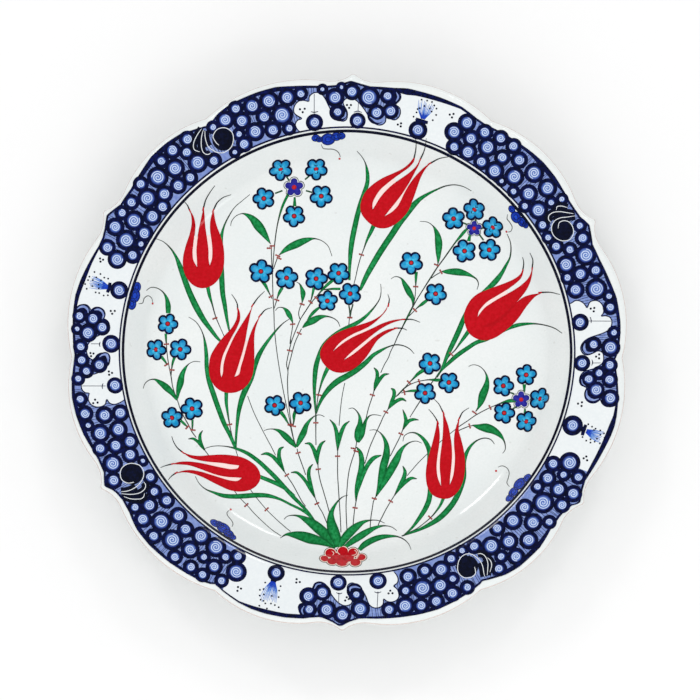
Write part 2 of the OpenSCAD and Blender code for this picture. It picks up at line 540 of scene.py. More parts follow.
def flange_rows(drop, side, lip_r):
    """Rows over the flange and round the lip."""
    lip = lip_rows(side, lip_r)
    rows = []
    for share in (0.25, 0.5, 0.75, 0.92):
        radii = FLANGE_START + (lip[0][0] - FLANGE_START) * share
        rows.append((radii, flange_height(radii, drop)))
    return rows + lip


def build_body():
    """The clay body inside its coats: front glaze, back glaze and the patch inside the foot."""
    front = line_rows(0, 4) + flange_rows(0, 1, LIP_R)
    glaze = turned("glaze_front", front, FRONT_GLAZE, FLOOR_Z)
    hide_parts("front_glaze")
    back = line_rows(FULL_DROP, FOOT_OUTER_R) + flange_rows(FULL_DROP, -1, LIP_R)
    glaze = turned("glaze_back", back, BACK_GLAZE, downward=True)
    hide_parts("back_glaze")
    well = [row for row in line_rows(FULL_DROP, 4) if row[0][0] < FOOT_INNER_R]
    last_r, last_z = well[-1]
    edge_r = FOOT_INNER_R * np.ones_like(RIM_ANGLES)
    well.append((edge_r, last_z + (edge_r - last_r) * math.tan(FLOOR_ANGLE)))
    glaze = turned("glaze_foot_well", well, BACK_GLAZE, FLOOR_Z - FULL_DROP,
                   downward=True)
    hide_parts("foot_well_glaze")
    blush = lip_rows(1, LIP_R + BLUSH_LIFT, BLUSH_START, BLUSH_END)
    turned("lip_blush", blush, LIP_BLUSH)
    upper = line_rows(GLAZE, 4) + flange_rows(GLAZE, 1, LIP_R - GLAZE)
    lower = line_rows(GLAZE + WALL, 4) + flange_rows(GLAZE + WALL, -1, LIP_R - GLAZE)
    clay = turned("clay_body", upper + lower[-2::-1], CLAY)
    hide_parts("fired_body")


def dress_foot():
    """The bare ring keeps its CAD shape, with its edges softened."""
    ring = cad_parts["foot_ring"]
    ring.data.materials.clear()
    ring.data.materials.append(BARE_FOOT)
    bevel = ring.modifiers.new("soft_edges", "BEVEL")
    bevel.width = 0.0005
    bevel.segments = 2
    bevel.angle_limit = math.radians(40)


build_body()
dress_foot()


# ---------------------------------------------------------------- flowers and leaves in the well

STEM_LIFT, LEAF_LIFT, SLIT_LIFT, PETAL_LIFT, HAIR_LIFT = 0.05, 0.06, 0.09, 0.12, 0.14
LEAF_STEP = 0.012
FULL_LEAF = 1.3
HAIR_START, HAIR_END = 0.75, 0.25
STEMS = []


def with_widths(points, width=0.5):
    """(x, y, width) points, where a point without a width keeps the last one."""
    found = []
    for x, y, *given in points:
        width = given[0] if given else width
        found.append((x, y, width))
    return found


def leaf(coat, points, lift=LEAF_LIFT):
    brush(coat, with_widths(points), lift, FULL_LEAF)


def stem(coat, points, lift=STEM_LIFT):
    line = with_widths(points)
    STEMS.append(np.array(line)[:, :2])
    brush(coat, line, lift, FULL_LEAF)


def hair(coat, points):
    """A fine line that thins out from its start."""
    widths = np.linspace(HAIR_START, HAIR_END, len(points))
    brush(coat, [(x, y, w) for (x, y), w in zip(points, widths)], HAIR_LIFT)


def drawn_out_tip(coat, line):
    """The thin red point of a petal, where its hair begins."""
    start, after = np.array(line[0]), np.array(line[1])
    along = (after - start) / np.linalg.norm(after - start)
    ends = [start - 2 * along, start, start + 2 * along]
    brush(coat, [(*end, width) for end, width in zip(ends, (0.5, 0.8, 0.3))], PETAL_LIFT)


def slit(coat, one, other):
    """The rosy bottom of the gap between two petals."""
    one, other = smooth_line(one), smooth_line(other[::-1])
    pick = np.linspace(0.45, 1, 24)
    sides = [s[np.round(pick * (len(s) - 1)).astype(int)] for s in (one, other)]
    gap = np.linalg.norm(sides[0] - sides[1], axis=1)
    brush(coat, np.column_stack([(sides[0] + sides[1]) / 2, gap + 0.3]), SLIT_LIFT)


def tulip(number, petals, hairs, leaves, stems):
    """A tulip: one red shape with two slits, hairs drawn out of its three tips, leaves and stem."""
    flower, gaps, lines, green = Coat(), Coat(), Coat(), Coat()
    patch(flower, bent_outline(petals), PETAL_LIFT)
    for line in hairs:
        drawn_out_tip(flower, line)
    slit(gaps, petals[1], petals[2])
    slit(gaps, petals[3], petals[4])
    for line in hairs:
        hair(lines, line)
    for line in leaves:
        leaf(green, line)
    for line in stems:
        stem(green, line)
    make_piece(f"tulip_{number}_petals", flower, RED_PAINT)
    make_piece(f"tulip_{number}_slits", gaps, PINK_PAINT)
    make_piece(f"tulip_{number}_hairs", lines, INK_PAINT)
    make_piece(f"tulip_{number}_leaves", green, GREEN_PAINT)


tulip(1, [
    [(-70.6, 74), (-69.7, 70.5), (-67.6, 65), (-66.2, 60), (-65.6, 54), (-66, 48), (-67.5, 43.5),
     (-70.5, 39.3), (-74, 37.2), (-78, 36.6), (-82.5, 38.5), (-85.8, 42.5), (-87.6, 48), (-87.6, 53),
     (-86.3, 59), (-84, 66), (-83, 71), (-83.2, 74.5), (-84.2, 77.6)],
    [(-82, 74.5), (-81.1, 71), (-81.3, 66), (-82, 61), (-82.5, 56), (-82, 51.5), (-80.1, 48)],
    [(-80.2, 51.5), (-80.5, 56), (-80.2, 62), (-79, 69.5), (-77.6, 75.5), (-76.6, 80)],
    [(-76.2, 76), (-75.9, 71), (-74.9, 64), (-74, 57), (-73.9, 52), (-73.4, 48.8)],
    [(-72.3, 52), (-72, 57), (-72.4, 62), (-73.2, 68), (-73.2, 72), (-72.4, 76), (-71.3, 79.3)],
], hairs=[
    [(-84.2, 77.6), (-85.2, 79.5), (-87, 81.2)],
    [(-76.6, 79.5), (-75.5, 83), (-73.5, 86.5), (-70.5, 90.5)],
    [(-71.2, 79), (-69.5, 82.3), (-66.5, 85), (-62, 86.9)],
], leaves=[
    [(-102, 61, .3), (-98, 60, .4), (-94.5, 57.5, .8), (-91.5, 53.5, 1.5), (-89.5, 49, 2.6), (-87, 42, 3),
     (-84, 34, 3.2), (-80.5, 26.5, 3.4), (-76.5, 19.5, 2.9), (-72.5, 14, 2.2), (-69, 9.5, 1.6),
     (-67.5, 8, 1.2)],
    [(-52, 87.3, .3), (-56, 84, .35), (-60, 80.5, .4), (-63.5, 75, .7), (-65.8, 70, 1), (-67.2, 64, 1.9),
     (-67.4, 56, 2.6), (-67.2, 48, 2.8), (-66.8, 40, 2.9), (-66.4, 34, 2.7), (-65.2, 27, 2.3),
     (-64.1, 20, 1.6), (-63.1, 15, 1.1), (-62.3, 11, .5)],
], stems=[
    [(-74.5, 38, 2), (-73.5, 33, 1.8), (-72, 28, .9), (-70.2, 21.5, .6), (-67.5, 15, .45), (-65.5, 10.5, .4)],
])

tulip(2, [
    [(-48, 17.5), (-49.1, 13.5), (-49.5, 8), (-49.4, 2), (-49.6, -5), (-50.8, -11.5), (-53.3, -15.8),
     (-57.5, -19), (-62, -20), (-66.5, -19.2), (-70.3, -16.5), (-72.9, -12), (-73.6, -6), (-72.9, -.5),
     (-70, 5), (-65.5, 10.8), (-61.5, 15.2), (-59, 20), (-58.4, 26.5)],
    [(-57.2, 23.5), (-57, 20.5), (-58.6, 15.5), (-61.3, 10.5), (-64, 5), (-66.2, 0), (-67.3, -5),
     (-67.4, -9.5), (-66.9, -11.6)],
    [(-66.2, -9), (-65.9, -5), (-64.7, 0), (-62.7, 5), (-60.1, 10.5), (-57.2, 15.5), (-54.2, 20.3),
     (-51.8, 24.3), (-50, 28)],
    [(-51.1, 24.5), (-52.1, 20), (-53.2, 14.5), (-54.2, 8.5), (-55.5, 3), (-57.1, -2.5), (-58.6, -7.5),
     (-59.9, -11.2)],
    [(-58, -10.3), (-56.5, -5.5), (-55, -.5), (-53.6, 5), (-52.2, 10), (-50.4, 14.8), (-48.2, 19),
     (-46, 22.3)],
], hairs=[
    [(-58.4, 26), (-58.6, 28), (-60, 31), (-61.6, 33.3)],
    [(-50, 28), (-47.5, 31.5), (-44, 35)],
    [(-46, 22.3), (-43.5, 25), (-40, 26.2)],
], leaves=[
    [(-84.5, 21, .3), (-81, 18.7, .4), (-78, 14.5, .5), (-76.6, 11, .7), (-75.6, 6, 1.6), (-75, 0, 2.1),
     (-74.8, -6, 2.3), (-73.6, -13, 2.6), (-71.2, -20.5, 2.8), (-68.6, -28, 2.7), (-65.6, -36, 2.5),
     (-62.4, -42.5, 2.1), (-59.6, -49, 1.6)],
    [(-30.5, 20.2, .3), (-33.5, 18.2, .5), (-37.5, 14.2, 1), (-41, 9.8, 1.5), (-44.5, 4.8, 2),
     (-47.2, 0, 2.6), (-49.2, -6, 2.4), (-51, -12, 2.6), (-53.8, -17.5, 3.2), (-56, -23, 2.9),
     (-57.6, -29.5, 2.3), (-58.4, -36, 1.7), (-59, -43, 1.3), (-59.3, -49.5, 1.2)],
], stems=[
    [(-64.3, -19, 2.1), (-64.3, -25, 1.8), (-63.5, -31, 1.1), (-62.5, -37, .6), (-61, -44, .5),
     (-58.8, -52, .4)],
    [(-58.8, -52, .4), (-55.5, -62), (-51, -72.5), (-48, -76.5), (-43, -82.5), (-38, -87.5), (-33, -92),
     (-30, -94.5)],
])

tulip(3, [
    [(42, 100.5), (40, 97.5), (38, 92.5), (36.5, 88), (35, 84), (33, 79), (30, 75), (26, 71.5), (21.5, 69.3),
     (17, 69.2), (13.5, 70.8), (10, 73.8), (7.8, 77), (7.1, 80.5), (7.8, 84.5), (10, 89), (14, 93),
     (19, 96.3), (25, 99), (30, 101.3), (33.5, 103.8), (36, 106.5)],
    [(35.8, 104.5), (33.8, 102.2), (30, 99.6), (25.5, 96.5), (21.5, 93.3), (18, 90.2), (15.3, 86.3),
     (13.7, 82.5), (13.7, 79.3)],
    [(15.3, 81.8), (17.3, 85.2), (20, 88.6), (24, 92.5), (28.5, 95.8), (33.5, 99.2), (37.5, 102.7),
     (39.5, 106)],
    [(38.8, 103.5), (36.5, 99.5), (34, 95), (31.5, 90.8), (29, 87), (26, 83), (23, 79.3), (20.1, 75.6)],
    [(24, 78), (27, 81), (28.8, 84.2), (30.8, 88.5), (33, 92.3), (36, 96.5), (39, 99.5), (42, 101.8),
     (45, 103.2)],
], hairs=[
    [(35.9, 106), (36.7, 109.5), (36.9, 112.5), (36.6, 115.3)],
    [(39.4, 105.5), (41, 108.5), (41.8, 111), (42.3, 115)],
    [(45, 103.2), (49, 104.8), (54.8, 105.4)],
], leaves=[
    [(5.3, 110, .3), (8, 107.3, .4), (9.7, 104.5, .6), (10.8, 100, 1.7), (10.9, 94, 2.2), (9.3, 88.5, 2.4),
     (7.4, 83, 2.5), (5.9, 77.5, 2.7), (4.2, 70, 2.9), (2.8, 63, 2.9), (1.9, 56, 2.5), (1.5, 50, 1.8),
     (1.3, 46, 1.5), (1.3, 41, 1.2)],
    [(66.5, 88.3, .3), (62, 90.8, .4), (57, 92, .5), (52, 91.5, .7), (48, 90, 1), (43, 87.5, 1.6),
     (38.5, 84.5, 2.4), (35, 81, 3.3), (31.5, 76.5, 3.4), (28, 72, 3.5), (24.5, 66.5, 3.4), (20.5, 60.5, 3.3),
     (17, 55, 3.3), (13.5, 49, 3.1), (10.5, 43.5, 2.7), (8, 38, 2), (7, 35.5, 1.2)],
], stems=[
    [(14.5, 71.2, 2.4), (12.7, 67, 2), (10.6, 62.5, 1.2), (9, 58, .6), (7.5, 54, .5), (5.8, 48, .5),
     (4.5, 42, .45), (3.7, 39, .4)],
])

tulip(4, [
    [(100.5, 31.7), (98, 29.3), (95, 25.5), (92, 21), (89, 17.5), (86, 14.8), (82.5, 12), (79, 9.8),
     (75, 8.5), (71, 8.7), (67.5, 10.2), (65, 12.5), (63.5, 15.5), (62.6, 19), (62.6, 23), (64, 27),
     (66.5, 30.8), (70, 33.7), (74.5, 35.6), (80, 37.7), (85, 39.6), (90, 42), (92.5, 44), (94, 47)],
    [(94, 44.5), (93, 42), (90.5, 39.5), (87, 36.8), (83, 34.2), (79, 31.8), (75, 29.3), (72, 26.3),
     (70.2, 23.5), (69.8, 21.2)],
    [(71.2, 23.3), (73.5, 26), (77, 28.5), (81, 31), (85, 33.2), (89.5, 35.8), (94, 39), (97, 42), (98.4, 45),
     (99, 48)],
    [(98.9, 44), (98, 40), (96, 35.8), (93, 31.8), (90, 28.3), (86, 24.3), (82, 20.8), (78, 17.8),
     (73.5, 16)],
    [(77, 16.3), (81, 18.6), (85, 22.3), (88, 26), (91, 29.3), (94.5, 31.8), (98.5, 33), (101.5, 33.2),
     (104.5, 33.5)],
], hairs=[
    [(94, 46.5), (94.4, 50), (93.8, 52.8)],
    [(98.9, 47), (99.2, 50.5), (97.6, 54.5)],
    [(104, 33.5), (108, 33), (113.4, 31)],
], leaves=[
    [(85.5, 65.5, .3), (87.3, 61, .5), (87.6, 57, .7), (87, 53, .9), (85, 49, 1.5), (82.5, 44.5, 2.2),
     (79.5, 40.5, 3), (76, 37, 2.6), (73, 34.5, 2), (66, 27, 2.4), (62.5, 20.5, 2.6), (59.6, 13.5, 2.9),
     (56.6, 7, 2.7), (54, 1.5, 2.3), (52, -3.5, 1.7), (50, -8, 1.1), (48, -11.5, .8)],
    [(114.5, 10.5, .3), (111, 13.5, .5), (106, 16, .6), (101, 17.2, .8), (95, 17.2, 1.6), (90, 16.3, 2.1),
     (87, 15.2, 1.8), (80, 12, 2), (74, 9, 2.4), (69, 7.2, 2.2), (64, 4, 2.3), (59, .5, 2.4), (54.5, -3.5, 2),
     (50.5, -7.5, 1.3), (47.5, -11.5, .8)],
], stems=[
    [(65, 13.5, 2.3), (62.5, 10, 1.9), (60, 6.5, 1.2), (57.5, 3, .7), (55.5, 1, .6), (53, -2, .5),
     (50.5, -5.5, .5)],
    [(47.5, -11.5, .6), (44, -16), (41, -21), (38.5, -25), (33.5, -33, .4)],
])

tulip(5, [
    [(23, 13.2), (19.5, 11.2), (16.5, 8.8), (14, 5.3), (12, 2), (9.5, -1.5), (6, -5), (2, -7.7), (-3, -9),
     (-7.5, -8.2), (-11, -5.8), (-13.8, -1.8), (-14.4, 1.8), (-13, 5.5), (-10, 9.3), (-5.5, 12.5), (0, 14.8),
     (6, 16.7), (11, 18.3), (15.5, 20.3), (18.8, 22.8), (21, 25.8), (22.3, 29)],
    [(21, 24.8), (18.8, 22), (15.8, 19), (12, 16.1), (8, 14), (4, 12.3), (0, 10), (-4, 7), (-7.5, 2.7)],
    [(-4.5, 5.2), (-.5, 8.2), (4, 10.8), (9, 13), (14, 15.3), (19, 17.7), (24, 19.3), (28, 19.9),
     (31.5, 19.8)],
    [(27, 18.9), (22.5, 17.2), (18.5, 15), (14, 11.8), (10, 8.5), (5.5, 4.8), (1.5, 1.3), (-1.7, -2)],
    [(2, .2), (6, 3.2), (10.5, 7), (14.5, 10.3), (18.5, 12.9), (22.5, 14.6), (27, 15.1)],
], hairs=[
    [(22.3, 28.5), (22.6, 30.5), (21.8, 33.4)],
    [(31, 19.8), (35, 19.7), (39, 18.2)],
    [(27, 15.1), (29.5, 15), (32, 14)],
], leaves=[
    [(18, 39, .3), (18.2, 35, .4), (17.8, 32, .5), (15, 27, .8), (12.5, 24, 1.2), (9.5, 21, 1.7),
     (6, 18.4, 2.1), (2, 16.3, 2.2), (-2, 14.5, 2), (-8, 10.5, 2), (-12.5, 5.5, 2.4), (-15, 0, 2.4),
     (-16.6, -6, 2.7), (-17.2, -12, 2.4), (-17.4, -18, 1.8), (-17.2, -24, 1.3), (-16.7, -30, .9),
     (-16.6, -32, .7)],
    [(35.8, 1.3, .3), (33.5, 3.8, .5), (30, 5.6, .6), (26, 6.1, .7), (22, 5, .8), (18, 3, 1.6), (14, .5, 2.1),
     (10, -3.5, 2.6), (5, -7.5, 3.1), (0, -10.7, 3.2), (-4.5, -13.2, 3.3), (-9, -17, 2.9),
     (-12.5, -21.5, 2.2), (-15, -26.5, 1.4), (-16.4, -31, .8)],
], stems=[
    [(-9.8, -5.5, 2.2), (-11.5, -9, 2), (-13.3, -13.5, 1.3), (-14.7, -18.5, .8), (-15.3, -21, .6),
     (-16, -26, .5), (-16.6, -32, .5)],
    [(-16.6, -32, .9), (-16.6, -36, .7), (-16.6, -42, .5), (-16.5, -48, .5)],
    [(-15.5, -58), (-15.3, -61), (-14.5, -66), (-12.5, -73), (-10.5, -80), (-9, -86), (-8.5, -92)],
])

tulip(6, [
    [(-87, -63.2), (-82, -63.6), (-77, -65.3), (-72, -67.8), (-67, -70.3), (-62, -72.4), (-57, -73.1),
     (-52, -72.3), (-48.3, -70), (-46.3, -66.8), (-46.2, -63.5), (-48, -59.8), (-51.5, -56.8), (-56, -54.6),
     (-61, -53.6), (-67, -53.2), (-73, -53.5), (-79, -53.9), (-84, -53.2), (-88, -51.6)],
    [(-84, -54.6), (-79, -56.2), (-73, -57.2), (-67, -57.7), (-61, -58.6), (-57.4, -59)],
    [(-57.9, -60.3), (-61, -61), (-66, -60.3), (-72, -59), (-78, -57.7), (-84, -57), (-89, -57.4),
     (-93.5, -59.3)],
    [(-89, -58.9), (-84, -59.1), (-79, -60.6), (-74, -62.5), (-69, -64.2), (-63, -65.3), (-59, -65.5),
     (-56, -65.7)],
    [(-58, -67.2), (-62, -67.1), (-67, -65.7), (-73, -63.8), (-79, -62.1), (-84.5, -61.7), (-88.5, -62.8),
     (-91.5, -64.6)],
], hairs=[
    [(-88, -51.6), (-90, -50), (-92.5, -46), (-93.3, -43.5)],
    [(-93.5, -59.3), (-96, -60.3), (-99, -62)],
    [(-91.5, -64.6), (-93, -66), (-94.8, -68.5)],
], leaves=[
    [(-76, -50, .3), (-72, -48.8, .4), (-66, -48.6, .5), (-62, -49.2, .8), (-58, -50.3, 1.5), (-53, -52.5, 2),
     (-48, -56, 2.2), (-43, -60.5, 2.3), (-38, -65.5, 2.4), (-33, -71, 2.3), (-28, -76.5, 2.1),
     (-25, -79.5, 1.8), (-20, -85, 1.4), (-17, -89, .9)],
    [(-80.7, -65, .3), (-78.5, -69, .4), (-75, -72, .7), (-71, -73.6, 1.3), (-66, -75.2, 2.2),
     (-60, -75.7, 2.5), (-54, -75.4, 2.7), (-48, -75, 2.6), (-42, -75.3, 2.2), (-36, -77, 1.4),
     (-30, -80, 1.3), (-24, -83, 1.4), (-20, -86, 1.4), (-17, -90, 1.2)],
], stems=[
    [(-46.5, -65, 2), (-42, -66.8, 2.2), (-37, -69, 2.2), (-32, -72, 1.8), (-28, -75.5, 1.6)],
    [(-73.7, -53.5, .4), (-64.5, -66), (-56, -77.5), (-53, -80.5), (-50, -84), (-45, -89), (-40, -93.5),
     (-35, -97)],
])

tulip(7, [
    [(59.6, -36.5), (59.5, -40), (60.8, -45), (62, -50), (62.8, -56), (62.7, -62), (61.5, -68), (58.8, -73.3),
     (54.5, -76.6), (49.5, -76.7), (45.5, -74.8), (43, -71), (42, -66), (42.2, -60), (43.3, -54.5),
     (45, -48.5), (46.4, -43), (47.4, -38.5), (48, -34.5)],
    [(49, -38.5), (49.4, -43), (49, -48.5), (48.2, -54), (47.7, -60), (48.3, -65.5), (50, -70)],
    [(49.8, -66), (49.3, -60), (49.6, -54), (50.4, -48), (51, -42), (51.2, -36), (51, -29.5)],
    [(52.5, -33.5), (54, -38), (55, -43), (55.8, -49), (55.9, -55), (55.4, -61), (54.9, -65.5),
     (54.7, -69.3)],
    [(56.2, -65.5), (57.1, -60), (57.4, -54), (57, -48.5), (57.1, -43), (58, -38.5), (60, -33.1)],
], hairs=[
    [(48, -35), (47.5, -34), (45.5, -31), (43.5, -28.7)],
    [(51, -30), (50.5, -29), (49, -26), (46.5, -23.3)],
    [(60, -33.3), (61.5, -30.5), (65, -28)],
], leaves=[
    [(29.8, -46, .3), (30.3, -43.5, .4), (33, -41.5, .5), (36, -41.4, .8), (39.5, -43.5, 1.5),
     (42.2, -47, 2.3), (43.8, -51, 2.6), (43.9, -58, 2.6), (44, -66, 2.6), (44.2, -73, 2.6),
     (43.6, -77.5, 2.8), (41.5, -82.5, 2.7), (38.3, -87.5, 2.1), (34.5, -92.5, 1.3), (30, -96.8, .8)],
    [(78.5, -47.6, .3), (76.8, -45.3, .5), (73.5, -44.3, .6), (70, -45.2, .7), (66.5, -47.8, 1.3),
     (64, -51.5, 1.9), (62.5, -56, 2.2), (62, -66, 2.6), (60, -72, 3), (57.5, -77.5, 3), (53.5, -83, 3.1),
     (48.5, -87.8, 2.9), (43.5, -91, 2.3), (38, -93.7, 1.6), (33, -95.5, 1.2), (29, -97, .6)],
], stems=[
    [(51.3, -76.5, 1.8), (49.8, -80, 1.4), (47.5, -83.5, 1), (44.5, -87, .6), (41, -90, .5), (37, -93, .5),
     (33, -95, .5)],
])


# ---------------------------------------------------------------- blossom sprays

BLOSSOMS = {
    "upper_left": [
        (-35.5, 100.7, 6.6, 124), (-16.5, 101.2, 6.3, 272), (-44.5, 85.2, 6.2, 182), (-13.8, 86.5, 6.4, 268),
        (-28.3, 75.7, 6.2, 266)],
    "upper_right": [
        (68.2, 79, 6.3, 93), (57, 74.2, 6.3, 95), (78, 69.3, 6.2, 84), (62.8, 56.7, 6.5, 104),
        (76, 57.3, 6.2, 76), (34.3, 50.4, 6.5, 126), (47.3, 33.6, 6.2, 130)],
    "centre": [
        (-4.5, 44.8, 6.2, 126), (-16.5, 41.8, 6.4, 145), (-10.5, 29.8, 5.8, 86), (1.7, 33.7, 6.2, 116),
        (-32.3, 42.2, 6.4, 80), (-46, 45.7, 6.7, 83)],
    "left": [
        (-95.7, 17.3, 5.8, 67), (-102, 3.3, 5.9, 66), (-89, 3.5, 6.1, 69), (-93.3, -33.5, 6, 89),
        (-82.5, -28.5, 6.3, 110)],
    "lower": [
        (-38.6, -26.6, 5.9, 64), (-24.7, -25.3, 6.3, 114), (44.3, -4, 6.2, 115), (41.6, -20, 6, 126),
        (54.3, -14.3, 5.9, 127)],
    "far_right": [
        (83.3, -16.2, 5.9, 72), (95.5, -10.3, 5.9, 82), (102.8, -23.5, 6.3, 70), (95.5, -35.5, 6, 71),
        (83.7, -30.8, 6, 71)],
}
VIOLET_HEARTS = [(-28.3, 91.3, 5.4, 90), (68, 69, 4.4, 90), (92.8, -23.6, 4.9, 90)]
BLOSSOM_LIFT = 0.10


def petalled(radius, depth, sharpness):
    """The reach of a five-petalled shape in each direction; depth is how far it draws in between
    petals."""
    return lambda a: radius * (1 - depth * (1 - abs(math.cos(2.5 * a))) ** sharpness)


def ring_stroke(coat, centre, reach, turn, width, lift):
    """A thin line round a shape at its reach."""
    angles = np.linspace(0, 2 * math.pi, 61)
    xy = around(centre, np.array([reach(a) for a in angles]), angles + turn)
    brush(coat, [(x, y, width) for x, y in xy], lift)


def blossom(outline, petals, hearts, x, y, radius, turn):
    """A blossom: navy outline, five turquoise petals and a red heart with a dark rim."""
    turn = math.radians(turn)
    star(outline, (x, y), petalled(radius, 0.24, 1.4), BLOSSOM_LIFT, turn, 60)
    star(petals, (x, y), petalled(radius - 0.9, 0.47, 1.05), BLOSSOM_LIFT + 0.04, turn, 60)
    star(outline, (x, y), 1.4, BLOSSOM_LIFT + 0.07, steps=16)
    star(hearts, (x, y), 1.05, BLOSSOM_LIFT + 0.10, steps=16)


def violet_heart(petals, lines, hearts, x, y, radius, turn):
    """The small violet blossom in the middle of a spray, with a loose thin outline."""
    turn = math.radians(turn)
    star(petals, (x, y), petalled(radius * 0.92, 0.38, 1.2), BLOSSOM_LIFT, turn, 50)
    ring_stroke(lines, (x, y), petalled(radius * 1.04, 0.3, 1.3), turn, 0.35, BLOSSOM_LIFT + 0.03)
    star(hearts, (x, y), radius * 0.24, BLOSSOM_LIFT + 0.05, steps=16)


def blossoms():
    """The turquoise blossoms of each spray, the violet ones, and the hearts of them all."""
    hearts, violet, loose = Coat(), Coat(), Coat()
    for spray, places in BLOSSOMS.items():
        outline, petals = Coat(), Coat()
        for place in places:
            blossom(outline, petals, hearts, *place)
        make_piece(f"blossoms_{spray}_outlines", outline, NAVY_PAINT)
        make_piece(f"blossoms_{spray}_petals", petals, TURQUOISE_PAINT)
    for place in VIOLET_HEARTS:
        violet_heart(violet, loose, hearts, *place)
    make_piece("violet_blossoms", violet, VIOLET_PAINT)
    make_piece("violet_blossom_lines", loose, FINE_INK)
    make_piece("blossom_hearts", hearts, DOT_RED)


blossoms()

